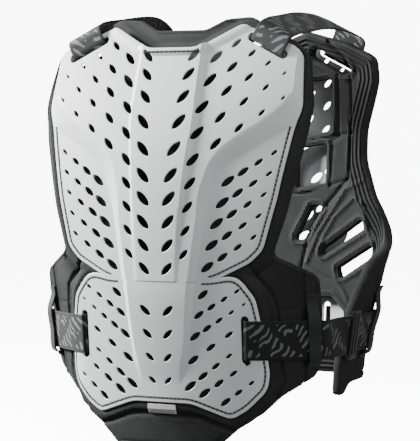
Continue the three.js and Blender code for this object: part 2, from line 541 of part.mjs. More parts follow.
// The two points between a run and the top: share of the way in plan, and of the rise
const FRONT_SWING = { way: 0.5, rise: 0.66 };
const BACK_SWING = { way: 0.45, rise: 0.8 };
const SHOULDER_TOP_Z = heightAt(PANELS.front, 1) + SHOULDER_RISE;
const SHOULDER_STATIONS = 16;

// Shoulder strap: out of the front slot, over the shoulder and down to the back slot
function shoulderStrap(side) {
  const tilt = SHOULDER_TILT * RADIAN;
  const x = side * SHOULDER_STRAP_X;
  const [ds, dz] = [side * Math.cos(tilt) * STRAP_WIDTH / 2, -Math.sin(tilt) * STRAP_WIDTH / 2];
  const run = (panel, rows) => rows.map(({ rise, ride }) => {
    const s = x + side * Math.sin(tilt) * rise;
    const z = shoulderSlotZ(panel) + Math.cos(tilt) * rise;
    const lift = OUTER_RIDGE + ride;
    const across = place(panel, s + ds, z + dz, lift).sub(place(panel, s - ds, z - dz, lift));
    return { centre: place(panel, s, z, lift), across: across.normalize() };
  });
  const [start, end] = [run(PANELS.front, FRONT_RUN), run(PANELS.back, BACK_RUN)];
  const topZ = SHOULDER_TOP_Z + STRAP_THICKNESS / 2;
  const top = new THREE.Vector3(x + side * SHOULDER_SWAY, SHOULDER_TOP_Y, topZ);
  const across = new THREE.Vector3(ds, 0, dz).normalize();
  const swing = (from, { way, rise }) => ({
    centre: from.centre.clone().lerp(top, way).setZ(THREE.MathUtils.lerp(from.centre.z, top.z, rise)),
    across,
  });
  const over = [swing(start.at(-1), FRONT_SWING), { centre: top, across }, swing(end[0], BACK_SWING)];
  const route = [...start, ...over, ...end];
  return band(stationsOn(route, 0, 1, SHOULDER_STATIONS), STRAP_WIDTH, STRAP_THICKNESS);
}

// Half width of a liner at a height, round the form
function linerHalf(panel, z) {
  const rows = panel.way < 0 ? FRONT_LINER_ROWS : BACK_LINER_ROWS;
  return between(rows, 'half', levelAt(panel, z)) * panel.width;
}

// Route of a side strap: out of the front slot, round the side at one height, into the back slot
const SIDE_ROUTE_STEPS = 6;
const SLOT_EXIT = 8;               // run of the strap from its slot until it lies flat on the plate
function sideRoute(side) {
  const leave = (panel) => {
    const last = linerHalf(panel, SIDE_STRAP_Z) - FOAM_GAP;
    const runs = [[-1.5, -PLATE_WALL], [-0.5, 0.2], [2.2, STRAP_LIFT + 0.5], [SLOT_EXIT, STRAP_LIFT]];
    for (let k = 1; k <= SIDE_ROUTE_STEPS; k += 1) {
      runs.push([THREE.MathUtils.lerp(SLOT_EXIT, last - SIDE_SLOT_S, k / SIDE_ROUTE_STEPS), STRAP_LIFT]);
    }
    return runs.map(([ds, lift]) => {
      const s = side * (SIDE_SLOT_S + ds);
      return { centre: place(panel, s, SIDE_STRAP_Z, lift), across: upOn(panel, s, SIDE_STRAP_Z) };
    });
  };
  const [front, back] = [leave(PANELS.front), leave(PANELS.back).reverse()];
  const across = new THREE.Vector3(0, 0, 1);
  const bridge = front.at(-1).centre.clone().lerp(back[0].centre, 0.5);
  bridge.x += side * STRAP_THICKNESS;
  return [...front, { centre: bridge, across }, ...back];
}

// How far along that route the buckle's middle bar sits
function buckleShare(route) {
  const curve = new THREE.CatmullRomCurve3(route.map((r) => r.centre), false, 'centripetal');
  let [low, high] = [0, 1];
  while (high - low > 1e-5) {
    const middle = (low + high) / 2;
    if (curve.getPoint(middle).y < BUCKLE_SIDE_Y) low = middle;
    else high = middle;
  }
  return { t: low, gap: STRAP_CLEARANCE / curve.getLength() };
}

// How far the webbing under the buckle stands out over the point under its middle bar
function strapBulge(route, t, centre, out) {
  const curve = new THREE.CatmullRomCurve3(route.map((r) => r.centre), false, 'centripetal');
  const reach = BUCKLE_LENGTH / 2 / curve.getLength();
  const under = [-1, -0.5, 0.5, 1].map((share) => curve.getPoint(t + share * reach).sub(centre).dot(out));
  return Math.max(0, ...under);
}

// The two webbings of one side meet under the buckle's middle bar
const SIDE_STATIONS = 13;
function sideStrap(side, isFront) {
  const route = sideRoute(side);
  const { t, gap } = buckleShare(route);
  const [from, to] = isFront ? [0, t - gap] : [t + gap, 1];
  return band(stationsOn(route, from, to, SIDE_STATIONS), STRAP_WIDTH, STRAP_THICKNESS);
}

// Slide buckle: two windows beside a middle bar, seated on the webbing
function buckle() {
  const block = (width, height, depth, x) => {
    const box = new THREE.BoxGeometry(width, height, depth).translate(x, 0, 0);
    box.deleteAttribute('normal');
    box.deleteAttribute('uv');
    return mergeVertices(box);
  };
  const window = (BUCKLE_LENGTH - 3 * BUCKLE_BAR) / 2;
  const hole = (side) => block(window, BUCKLE_HEIGHT - 2 * BUCKLE_BAR, 2 * BUCKLE_THICKNESS,
    side * (BUCKLE_BAR + window) / 2);
  return cut(block(BUCKLE_LENGTH, BUCKLE_HEIGHT, BUCKLE_THICKNESS, 0), [hole(-1), hole(1)]);
}

// Keeper: a short webbing sewn to the wing above and below the side strap, which runs under it
function keeper(panel, side) {
  const s = linerHalf(panel, SIDE_STRAP_Z) - panel.keeperInset;
  const sewn = -(PLATE_WALL + FOAM_GAP) + STRAP_CLEARANCE + KEEPER_THICKNESS / 2;
  const over = STRAP_LIFT + STRAP_THICKNESS / 2 + KEEPER_CLEARANCE + KEEPER_THICKNESS / 2;
  const clear = STRAP_WIDTH / 2 + KEEPER_THICKNESS;
  const [low, high] = [KEEPER_RISE - KEEPER_HEIGHT / 2, KEEPER_RISE + KEEPER_HEIGHT / 2];
  const [sewnLow, sewnHigh] = [(2 * low - clear) / 3, (2 * high + clear) / 3];
  const rises = [[low, sewn], [sewnLow, sewn], [-clear, over], [0, over], [clear, over],
    [sewnHigh, sewn], [high, sewn]];
  const points = rises.map(([rise, lift]) => place(panel, side * s, SIDE_STRAP_Z + rise, lift));
  const across = upOn(panel, side * s, SIDE_STRAP_Z).cross(outOf(panel, side * s, SIDE_STRAP_Z));
  const stations = points.map((centre, k) => {
    const next = points[Math.min(k + 1, points.length - 1)];
    const last = points[Math.max(k - 1, 0)];
    return { centre, across, out: across.clone().cross(next.clone().sub(last)).normalize() };
  });
  return band(stations, KEEPER_WIDTH, KEEPER_THICKNESS);
}

// Label: a small blank tag sewn on the foam under the lower plate's arch
function label(panel) {
  const top = heightAt(panel, LOWER_BOTTOM[0].level) - LABEL_INSET;
  const lift = -(PLATE_WALL + FOAM_GAP) + STRAP_CLEARANCE + LABEL_THICKNESS;
  const grid = [0, 1].map((down) => [-1, 0, 1].map((u) => {
    const [s, z] = [u * LABEL_WIDTH / 2, top - down * LABEL_HEIGHT];
    return { outer: place(panel, s, z, lift), inner: place(panel, s, z, lift - LABEL_THICKNESS) };
  }));
  return slab(grid);
}

const PLATE_WHITE = new THREE.MeshStandardMaterial({ color: 0xdfe0e4, roughness: 0.38, metalness: 0 });
const FOAM_BLACK = new THREE.MeshStandardMaterial({ color: 0x2b2d2d, roughness: 0.85, metalness: 0 });
const WEB_BLACK = new THREE.MeshStandardMaterial({ color: 0x17181a, roughness: 0.8, metalness: 0 });
const BUCKLE_BLACK = new THREE.MeshStandardMaterial({ color: 0x101012, roughness: 0.35, metalness: 0 });
const LABEL_GREY = new THREE.MeshStandardMaterial({ color: 0xb9bbbb, roughness: 0.6, metalness: 0 });

const vest = new THREE.Group();
vest.position.set(0, -SHOULDER_TOP_Y, -SHOULDER_TOP_Z);

function add(name, geometry, material) {
  const mesh = new THREE.Mesh(geometry, material);
  mesh.name = name;
  vest.add(mesh);
  return mesh;
}

for (const [name, panel] of Object.entries(PANELS)) {
  add(name + '_upper_plate', upperPlate(panel), PLATE_WHITE);
  add(name + '_lower_plate', lowerPlate(panel), PLATE_WHITE);
}
add('front_liner', liner(PANELS.front, FRONT_LINER_ROWS, FRONT_LINER_TOP, FRONT_LINER_BOTTOM), FOAM_BLACK);
add('back_liner', liner(PANELS.back, BACK_LINER_ROWS, BACK_LINER_TOP, BACK_LINER_BOTTOM), FOAM_BLACK);
for (const [hand, side] of [['left', -1], ['right', 1]]) {
  add('shoulder_strap_' + hand, shoulderStrap(side), WEB_BLACK);
  add('side_strap_front_' + hand, sideStrap(side, true), WEB_BLACK);
  add('side_strap_back_' + hand, sideStrap(side, false), WEB_BLACK);
  for (const [name, panel] of Object.entries(PANELS)) {
    add('keeper_' + name + '_' + hand, keeper(panel, side), WEB_BLACK);
  }
  const route = sideRoute(side);
  const { t } = buckleShare(route);
  const [{ centre, across, out }] = stationsOn(route, t, t, 1);
  if (out.x * side < 0) out.negate();
  const slide = add('side_buckle_' + hand, buckle(), BUCKLE_BLACK);
  const bulge = strapBulge(route, t, centre, out);
  const seat = bulge + STRAP_THICKNESS / 2 + BUCKLE_CLEARANCE + BUCKLE_THICKNESS / 2;
  slide.position.copy(centre).addScaledVector(out, seat);
  const turned = new THREE.Matrix4().makeBasis(across.clone().cross(out), across, out);
  slide.quaternion.setFromRotationMatrix(turned);
}
add('label_tag', label(PANELS.front), LABEL_GREY);

export default vest;
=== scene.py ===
# %% [markdown]
# # A roost deflector in white plastic and black foam
# The real thing is a body protector. On the chest and on the back, a moulded white plate in two halves
# is sewn to a thick foam liner, and webbing joins the two over the shoulders and round the waist.
# The frame holds every solid at its real place, so this script only dresses it. Each soft or perforated
# part is cut out flat, as its maker cuts it, and is then laid over the same torso form as its solid.

# %% Imports and the frame
import json
import math

import bmesh
import bpy
import numpy as np
from mathutils import Matrix, Vector

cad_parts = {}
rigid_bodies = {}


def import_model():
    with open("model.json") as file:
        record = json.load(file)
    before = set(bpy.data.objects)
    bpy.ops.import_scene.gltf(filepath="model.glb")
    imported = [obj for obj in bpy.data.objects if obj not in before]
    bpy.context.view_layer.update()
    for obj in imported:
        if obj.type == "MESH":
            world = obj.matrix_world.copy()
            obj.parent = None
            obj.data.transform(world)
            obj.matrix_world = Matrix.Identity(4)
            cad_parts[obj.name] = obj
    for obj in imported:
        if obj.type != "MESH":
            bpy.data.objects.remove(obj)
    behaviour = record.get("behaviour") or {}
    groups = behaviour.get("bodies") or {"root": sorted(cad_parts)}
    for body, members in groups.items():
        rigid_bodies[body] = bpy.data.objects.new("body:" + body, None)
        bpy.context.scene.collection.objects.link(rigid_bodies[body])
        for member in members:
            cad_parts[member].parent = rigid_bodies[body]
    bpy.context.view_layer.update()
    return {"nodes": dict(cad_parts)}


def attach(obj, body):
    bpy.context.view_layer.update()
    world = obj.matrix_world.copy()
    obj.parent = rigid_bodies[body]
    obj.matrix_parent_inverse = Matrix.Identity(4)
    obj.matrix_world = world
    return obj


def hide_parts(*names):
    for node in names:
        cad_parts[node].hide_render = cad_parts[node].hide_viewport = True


for spare in list(bpy.data.objects):
    bpy.data.objects.remove(spare)

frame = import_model()
print("frame holds", len(frame["nodes"]), "solids")

# %% [markdown]
# ## The torso form
# Every panel lies on a form like a tailor's dummy. A section of it is drawn at each height: it starts
# on the centre line, bends gently by its bow, turns a corner and runs on along the wearer's side. A place
# on the form is a distance `s` round the section and a height `z`, and a lift stands outwards from it.
# The tables hold shares of the named sizes, and NumPy lets one call place a whole mesh.

# %% Sizes in metres
MM = 0.001
UPPER_HEIGHT = 303 * MM
FRONT_LOWER = 147.5 * MM
BACK_LOWER = 106 * MM
WAIST = -70 * MM
HALF_WIDTH = 164 * MM
LOWER_HALF = 130 * MM
BOW_REACH = 100 * MM
PLATE_WALL = 2.6 * MM
FOAM = 12 * MM
FOAM_GAP = 1.5 * MM
OUTER_RIDGE = 6 * MM
INNER_RIDGE = 4 * MM
SHOULDER_TOP = Vector((0, 45 * MM, 240 * MM))
FRONT = dict(name="front", way=-1, depth=135 * MM, bow=9 * MM, lower=FRONT_LOWER,
             corner=104 * MM, radius=70 * MM, turn=math.radians(19))
BACK = dict(name="back", way=1, depth=137 * MM, bow=4.5 * MM, lower=BACK_LOWER,
            corner=172 * MM, radius=40 * MM, turn=math.radians(79))


def table(names, *rows):
    """Named columns from rows that run from top to bottom, turned so that the level rises."""
    return {name: np.array([row[k] for row in rows[::-1]]) for k, name in enumerate(names.split())}


# %% Sections of the form, as shares of the sizes
TORSO = table(
    "level front front_bow front_corner back back_bow back_corner",
    (1.06, 0.50, 0.50, 1.70, 0.870, 1.0, 1.00), (0.89, 0.67, 0.59, 1.70, 0.930, 1.0, 1.00),
    (0.66, 0.854, 0.73, 1.70, 0.975, 1.0, 1.00), (0.43, 0.96, 0.88, 1.60, 1.000, 1.0, 1.00),
    (0.23, 1.00, 1.00, 1.40, 0.990, 1.0, 1.04), (0.00, 1.004, 1.14, 1.12, 0.950, 1.0, 0.93),
    (-0.40, 0.983, 1.30, 1.00, 0.905, 1.0, 0.84), (-0.88, 0.947, 1.50, 1.00, 0.860, 1.0, 0.80),
    (-1.30, 0.91, 1.60, 1.00, 0.830, 1.0, 0.80))


def along(rows, column, level):
    """A column of a table at each level, on a smooth curve through its rows."""
    x, y = rows["level"], rows[column]
    slope = np.gradient(y, x)
    slope[1:-1] = (y[2:] - y[:-2]) / (x[2:] - x[:-2])
    k = np.clip(np.searchsorted(x, level) - 1, 0, len(x) - 2)
    span = x[k + 1] - x[k]
    raw = (level - x[k]) / span
    t = np.clip(raw, 0, 1)
    curve = (y[k] + (y[k + 1] - y[k]) * t * t * (3 - 2 * t)
             + slope[k] * span * t * (1 - t) ** 2 - slope[k + 1] * span * t * t * (1 - t))
    return curve + np.where(raw < 0, slope[k], slope[k + 1]) * span * (raw - t)


print("the form has", len(TORSO["level"]), "sections")

# %% Places on the form
def height_at(panel, level):
    """Height of a level: 1 is the shoulder peak, 0 the waist line, -1 the lower plate's corner."""
    return WAIST + np.asarray(level) * np.where(np.asarray(level) > 0, UPPER_HEIGHT, panel["lower"])


def level_at(panel, z):
    return (z - WAIST) / np.where(z > WAIST, UPPER_HEIGHT, panel["lower"])


def bend(point, length, curvature):
    """The end of an arc that leaves a point of a section, with the angle it has there."""
    x, y, angle = point
    end = angle + curvature * length
    across = (np.sin(end) - np.sin(angle)) / curvature
    inwards = (np.cos(angle) - np.cos(end)) / curvature
    return x + across, y + inwards, end


def on_form(panel, s, z):
    """Points of the form, as an array of rows x, y, z in the frame's own axes."""
    level = level_at(FRONT, z)
    curvature = 2 * panel["bow"] * along(TORSO, panel["name"] + "_bow", level) / BOW_REACH ** 2
    corner = panel["corner"] * along(TORSO, panel["name"] + "_corner", level)
    turning = panel["turn"] * panel["radius"]
    reach = np.abs(s)
    point = bend((0, 0, 0), np.minimum(reach, corner), curvature)
    point = bend(point, np.clip(reach - corner, 0, turning), curvature + 1 / panel["radius"])
    point = bend(point, np.maximum(reach - corner - turning, 0), curvature * 0.5)
    depth = panel["depth"] * along(TORSO, panel["name"], level)
    spots = np.stack([np.sign(s) * point[0], panel["way"] * (depth - point[1]), z], 1)
    return spots - np.array(SHOULDER_TOP)


def out_of(panel, s, z, step=0.5 * MM):
    """The form's outward direction at each place."""
    across = on_form(panel, s + step, z) - on_form(panel, s - step, z)
    up = on_form(panel, s, z + step) - on_form(panel, s, z - step)
    normal = np.cross(across, up)
    return -panel["way"] * normal / np.linalg.norm(normal, axis=1)[:, None]


def place(panel, s, z, lift):
    """Points that stand off the form by a lift."""
    s, z, lift = (np.atleast_1d(np.asarray(a, float)) for a in (s, z, lift))
    return on_form(panel, s, z) + out_of(panel, s, z) * lift[:, None]


def spot(panel, s, z, lift):
    return Vector(place(panel, s, z, lift)[0])


side_of_waist = spot(BACK, 250 * MM, WAIST, 0)
print("the waist section is", round(2 * side_of_waist.x, 3), "m wide")

# %% [markdown]
# ## Flat patterns
# A pattern is an outline of corners with a radius each, given for one half and mirrored. `rounded` turns
# the corners into arcs, and `offset` draws a line beside it. `loft` builds a closed board from such rings
# by extruding one face again and again, so the rims are rounded without a Bevel on a busy mesh.

# %% Outlines and offsets
ARC_STEP = math.radians(12)
LEAST_TURN = math.radians(2)


def rounded(corners, closed=True):
    """Corners of (s, z, radius) to a list of points, with an arc at each corner."""
    points, count = [], len(corners)
    for k, (s, z, radius) in enumerate(corners):
        here = Vector((s, z))
        if not closed and k in (0, count - 1):
            points.append(here)
            continue
        before = Vector(corners[k - 1][:2]) - here
        after = Vector(corners[(k + 1) % count][:2]) - here
        turn = math.pi - before.angle(after)
        if turn < LEAST_TURN or radius <= 0:
            points.append(here)
            continue
        cut = min(radius * math.tan(turn / 2), 0.49 * before.length, 0.49 * after.length)
        steps = max(2, math.ceil(turn / ARC_STEP))
        a, b = here + before.normalized() * cut, here + after.normalized() * cut
        for i in range(steps + 1):
            t = i / steps
            points.append(a * (1 - t) ** 2 + here * 2 * t * (1 - t) + b * t * t)
    return [(p.x, p.y) for p in points]


def both_sides(half):
    """A right half that starts and ends on the centre line, closed by its mirror image."""
    inner = half[1:-1]
    return inner + [(-s, z, r) for s, z, r in inner[::-1]]


def offset(path, distance, closed=True):
    """The path moved to its right by a distance, which is inwards on a clockwise outline."""
    p = np.array(path)
    before = np.roll(p, 1, 0) if closed else np.vstack([p[:1], p[:-1]])
    after = np.roll(p, -1, 0) if closed else np.vstack([p[1:], p[-1:]])
    d = after - before
    d /= np.linalg.norm(d, axis=1)[:, None]
    return [tuple(q) for q in p + np.stack([d[:, 1], -d[:, 0]], 1) * distance]


def clockwise(path):
    """The path, turned so that it runs clockwise, as `offset` expects."""
    p = np.array(path)
    q = np.roll(p, -1, 0)
    area = float(np.sum(p[:, 0] * q[:, 1] - q[:, 0] * p[:, 1]))
    return path if area < 0 else path[::-1]


square = [(s, z, 10 * MM) for s, z in ((0, 0), (0, 60 * MM), (60 * MM, 60 * MM), (60 * MM, 0))]
print("a rounded square has", len(rounded(square)), "points")


# %% Boards, cuts and pieces
def loft(bm, rings):
    """A closed board through rings of (points, lift): one face, extruded to each further ring."""
    points, lift = rings[0]
    face = bm.faces.new([bm.verts.new((s, z, lift)) for s, z in points])
    corners = list(face.verts)
    for k, (points, lift) in enumerate(rings[1:]):
        order = {tuple(v.co): i for i, v in enumerate(corners)}
        grown = bmesh.ops.extrude_face_region(bm, geom=[face])["geom"]
        if k:
            bmesh.ops.delete(bm, geom=[face], context="FACES_ONLY")
        face = next(g for g in grown if isinstance(g, bmesh.types.BMFace))
        corners = [None] * len(points)
        for v in face.verts:
            corners[order[tuple(v.co)]] = v
        for v, (s, z) in zip(corners, points):
            v.co = (s, z, lift)
    return face


def distance_to(path, s, z, closed=False):
    """Distance of many places from a line of points."""
    p = np.array(path)
    ends = np.roll(p, -1, 0) if closed else p[1:]
    best = np.full(len(s), 1.0)
    for a, b in zip(p, ends):
        d = b - a
        t = np.clip(((s - a[0]) * d[0] + (z - a[1]) * d[1]) / max(float(d @ d), 1e-12), 0, 1)
        best = np.minimum(best, np.hypot(s - a[0] - t * d[0], z - a[1] - t * d[1]))
    return best


def ramp(value, start, end):
    """0 at start, 1 at end, with a slight shoulder at both."""
    t = np.clip((value - start) / (end - start), 0, 1)
    return 0.92 * t + 0.08 * t * t * (3 - 2 * t)


def sliced(bm, s_lines, z_lines):
    """Cuts a flat board along lines, so that it has the faces it needs to bend."""
    for lines, normal in ((z_lines, (0, 1, 0)), (s_lines, (1, 0, 0))):
        for value in lines:
            everything = bm.verts[:] + bm.edges[:] + bm.faces[:]
            bmesh.ops.bisect_plane(bm, geom=everything, dist=1e-7, plane_co=Vector(normal) * value,
                                   plane_no=normal)


def carved(bm, cutters, name):
    """The board with every cutter taken out of it, through one exact Boolean."""
    bmesh.ops.recalc_face_normals(bm, faces=bm.faces)
    bmesh.ops.recalc_face_normals(cutters, faces=cutters.faces)
    board = as_object(name + "_board", bm)
    tool = as_object(name + "_tool", cutters)
    boolean = board.modifiers.new("cut", "BOOLEAN")
    boolean.operation = "DIFFERENCE"
    boolean.solver = "EXACT"
    boolean.use_self = True
    boolean.object = tool
    bpy.context.view_layer.update()
    solved = board.evaluated_get(bpy.context.evaluated_depsgraph_get())
    result = bmesh.new()
    result.from_mesh(solved.to_mesh())
    for extra in (board, tool):
        bpy.data.objects.remove(extra)
    return result


def as_object(name, bm):
    """The bmesh as an object of the scene, which leaves its mesh where it is."""
    mesh = bpy.data.meshes.new(name)
    bm.to_mesh(mesh)
    bm.free()
    obj = bpy.data.objects.new(name, mesh)
    bpy.context.scene.collection.objects.link(obj)
    return obj


def wrapped(bm, panel, relief):
    """Lays the flat board over the form; relief gives each place its extra lift."""
    verts = list(bm.verts)
    s, z, lift = np.array([v.co for v in verts]).T
    spots = place(panel, s, z, lift + relief(s, z, lift))
    for v, p in zip(verts, spots):
        v.co = p
    bmesh.ops.recalc_face_normals(bm, faces=bm.faces)


SHARP = math.radians(25)


def piece(name, bm, material, slot, *nodes):
    """A finished part: smooth but for its sharp edges, riding on the frame's one body."""
    obj = as_object(name, bm)
    obj.data.materials.append(material)
    obj.data.shade_smooth()
    obj.data.set_sharp_from_angle(angle=SHARP)
    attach(obj, "root")
    if nodes:
        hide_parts(*nodes)
    print(name, len(obj.data.polygons), "faces")
    return obj


print("edges over", round(math.degrees(SHARP)), "degrees stay sharp")

# %% [markdown]
# ## Shader maths
# `Signal` wraps a socket, so that `1 - mask * 0.5` adds the Math nodes by itself, and `Finish.node` makes
# any other node. Only what changes over a surface is linked. Plain numbers go into the shader's sockets.

# %% Signals
class Signal:
    def __init__(self, finish, socket):
        self.finish, self.socket = finish, socket

    def math(self, operation, *values):
        sockets = {k: v for k, v in enumerate((self, *values))}
        return self.finish.node("ShaderNodeMath", {"operation": operation}, sockets)

    def swapped(self, operation, value):
        return self.finish.node("ShaderNodeMath", {"operation": operation}, {0: value, 1: self})

    def __add__(self, other):
        return self.math("ADD", other)

    def __sub__(self, other):
        return self.math("SUBTRACT", other)

    def __mul__(self, other):
        return self.math("MULTIPLY", other)

    def __truediv__(self, other):
        return self.math("DIVIDE", other)

    def __rsub__(self, other):
        return self.swapped("SUBTRACT", other)

    __radd__, __rmul__ = __add__, __mul__

    def above(self, edge, soft):
        """0 under an edge and 1 over it, with a soft step."""
        sockets = {"Value": self, "From Min": edge - soft, "From Max": edge + soft}
        return self.finish.node("ShaderNodeMapRange", {"interpolation_type": "SMOOTHSTEP"}, sockets)


# %% Finishes
class Finish:
    def __init__(self, name, **plain):
        self.material = bpy.data.materials.new(name)
        self.material.use_nodes = True
        self.tree = self.material.node_tree
        self.shader = self.tree.nodes["Principled BSDF"]
        for key, value in plain.items():
            self.shader.inputs[key.replace("_", " ")].default_value = value
        self.object = self.node("ShaderNodeTexCoord", out="Object")
        self.uv = self.node("ShaderNodeTexCoord", out="UV")

    def node(self, kind, settings=None, sockets=None, out=0):
        made = self.tree.nodes.new(kind)
        for key, value in (settings or {}).items():
            setattr(made, key, value)
        for key, value in (sockets or {}).items():
            if isinstance(value, Signal):
                self.tree.links.new(value.socket, made.inputs[key])
            else:
                made.inputs[key].default_value = value
        return Signal(self, made.outputs[out])

    def noise(self, scale, detail=2.0, vector=None, roughness=0.5):
        sockets = {"Vector": vector or self.object, "Scale": scale, "Detail": detail,
                   "Roughness": roughness}
        return self.node("ShaderNodeTexNoise", None, sockets)

    def attribute(self, name):
        return self.node("ShaderNodeAttribute", {"attribute_name": name}, out="Fac")

    def mix(self, factor, a, b):
        return self.node("ShaderNodeMix", {"data_type": "RGBA"}, {0: factor, 6: a, 7: b}, out=2)

    def part(self, vector, axis):
        return self.node("ShaderNodeSeparateXYZ", None, {0: vector}, out=axis)

    def feed(self, **links):
        for key, value in links.items():
            self.tree.links.new(value.socket, self.shader.inputs[key.replace("_", " ")])

    def bump(self, height, distance, strength=1.0):
        sockets = {"Height": height, "Distance": distance, "Strength": strength}
        self.feed(Normal=self.node("ShaderNodeBump", None, sockets))


def grey(value, tint=0.0):
    """A grey, cooled a little by its tint."""
    return (value * (1 - tint), value, value * (1 + tint), 1)


# %% [markdown]
# ## Plate finish
# The plates are injection moulded in a satin white: nearly even, with a faint mould texture and a little
# variation in gloss. A low-frequency noise drives the colour and the gloss together, and a very fine one
# gives the grain of the mould.

# %% Satin white
def plate_finish():
    f = Finish("satin_white_plate", IOR=1.46, Coat_Weight=0.12, Coat_Roughness=0.25)
    clouds = f.noise(14, 3)
    grain = f.noise(2600, 2)
    f.feed(Base_Color=f.mix(clouds, grey(0.60, 0.016), grey(0.66, 0.014)),
           Roughness=0.36 + 0.10 * clouds + 0.06 * grain)
    f.bump(grain, 0.12 * MM, 0.5)
    return f.material


WHITE = plate_finish()
print("made", WHITE.name)

# %% [markdown]
# ## Foam finish
# The foam has a black brushed knit face, so it gets a fleece bump and a knit grain, and reflects little.
# The ribs along the armhole are finer than the mesh can show. Each vertex keeps its distance to the edge
# instead, and a sine of that distance shapes the ribs as a bump, with painted shade darkening the lines
# between them.

# %% Knit on foam
RIB_PITCH = 5.6 * MM
RIBS_START = 4 * MM
RIBS_END = 26.4 * MM


def foam_finish():
    """Black knit over foam, with the ribs that the mesh's edge distances give."""
    f = Finish("knit_faced_foam", Specular_IOR_Level=0.22)
    fleece = f.noise(750, 4, roughness=0.7)
    knit = f.node("ShaderNodeTexVoronoi", {"feature": "F1"}, {"Vector": f.object, "Scale": 900.0})
    clouds = f.noise(45, 3)
    edge = f.attribute("rib_edge")
    share = f.attribute("rib_share").above(0.5, 0.25)
    wave = ((edge - RIBS_START) * (math.pi / RIB_PITCH)).math("SINE")
    ribs = wave * wave * share
    worn = f.mix(clouds * 0.5 + fleece * 0.5, grey(0.005, 0.02), grey(0.040, 0.02))
    # Painted shade: the troughs between the ribs are mixed towards near-black, over the knit's random
    # tone.
    knit_tone_and_painted_rib_shade = f.mix(share * (1 - wave * wave), worn, grey(0.002))
    f.feed(Base_Color=knit_tone_and_painted_rib_shade, Roughness=0.78 + 0.2 * fleece)
    f.bump(ribs * 3.0 + fleece * 0.5 + knit * 0.3, 0.9 * MM, 0.8)
    return f.material


FOAM_BLACK = foam_finish()
print("made", FOAM_BLACK.name)

# %% [markdown]
# ## Webbing finish
# The wide elastic webbing carries a woven grey motif of slanting, leaf-like strokes between two plain
# black borders.
# The keepers are plain. Both read the band's own UV map, so the weave follows the strap round its bends:
# one sine for the ribs across it, one for the picks along it, and two slow ones for the strokes.

# %% Woven webbing
RIB_WIDTH = 1.1 * MM
PICK_LENGTH = 1.6 * MM
BAND_MIDDLE = 22.5 * MM
MOTIF_REACH = 18.6 * MM
MOTIF_EDGE = 0.6 * MM


def webbing_finish(name, motif):
    """Woven webbing on its own UV map: x along the band and y across it, both in metres."""
    f = Finish(name, Sheen_Weight=0.15, Sheen_Roughness=0.4, Specular_IOR_Level=0.3)
    x, y = f.part(f.uv, 0), f.part(f.uv, 1)
    ribs = (y * (math.tau / RIB_WIDTH)).math("SINE")
    picks = (x * (math.tau / PICK_LENGTH)).math("SINE")
    weave = ribs * 0.5 + picks * 0.5 * ribs
    base = grey(0.006, 0.05)
    if motif:
        drift = f.noise(45, 1, f.uv) - 0.5
        strokes = (x * 620 - y * 430 + drift * 16).math("SINE")
        sweeps = (x * 130 + y * 170 + drift * 9).math("SINE")
        motif_strokes = strokes.above(0.35, 0.12) * sweeps.above(-0.1, 0.08)
        between = (MOTIF_REACH - (y - BAND_MIDDLE).math("ABSOLUTE")).above(0.0, MOTIF_EDGE)
        fray = f.noise(900, 2, f.uv)
        mask = motif_strokes * between * (0.6 + 0.4 * fray)
        f.feed(Base_Color=f.mix(mask, base, grey(0.16, 0.03)), Roughness=0.62 + 0.2 * fray)
    else:
        fray = f.noise(700, 2, f.uv)
        f.feed(Base_Color=f.mix(fray, grey(0.010, 0.04), grey(0.030, 0.04)), Roughness=0.6 + 0.25 * fray)
    f.bump(weave * 0.5 + fray * 0.4, 0.25 * MM, 0.8)
    return f.material


WEBBING = webbing_finish("leaf_webbing", True)
KEEPER_WEB = webbing_finish("plain_webbing", False)
print("made", WEBBING.name, "and", KEEPER_WEB.name)

# %% [markdown]
# ## Small finishes
# The slide buckles are black moulded plastic with a fine grain, the thread is a dull twisted black, and
# the blank tag is a light grey woven tape.

# %% Buckle plastic, thread and tape
def plastic_finish():
    f = Finish("black_buckle_plastic", IOR=1.5, Coat_Weight=0.2, Coat_Roughness=0.15)
    grain = f.noise(1800, 3)
    f.feed(Base_Color=f.mix(grain, grey(0.008), grey(0.016)), Roughness=0.26 + 0.16 * grain)
    f.bump(grain, 0.1 * MM, 0.4)
    return f.material


def thread_finish():
    f = Finish("black_thread", Specular_IOR_Level=0.4)
    twist = f.noise(2400, 2)
    f.feed(Base_Color=f.mix(twist, grey(0.006), grey(0.03)), Roughness=0.55 + 0.3 * twist)
    f.bump(twist, 0.3 * MM, 0.7)
    return f.material


def label_finish():
    f = Finish("grey_woven_tape", Specular_IOR_Level=0.3)
    weave = f.noise(1700, 2)
    f.feed(Base_Color=f.mix(weave, grey(0.34), grey(0.52)), Roughness=0.6 + 0.2 * weave)
    f.bump(weave, 0.3 * MM, 0.6)
    return f.material


PLASTIC = plastic_finish()
THREAD = thread_finish()
TAPE = label_finish()
print("finishes made:", len(bpy.data.materials))

# %% [markdown]
# ## Lens slots
# The plates are pierced with slots like lenses, larger near the centre and smaller towards the edge,
# that lean towards the shoulders. One slot is a circle squeezed to two soft tips. It widens over its top
# millimetre, which gives the light rim that each slot has. Rows of them come from two tables.

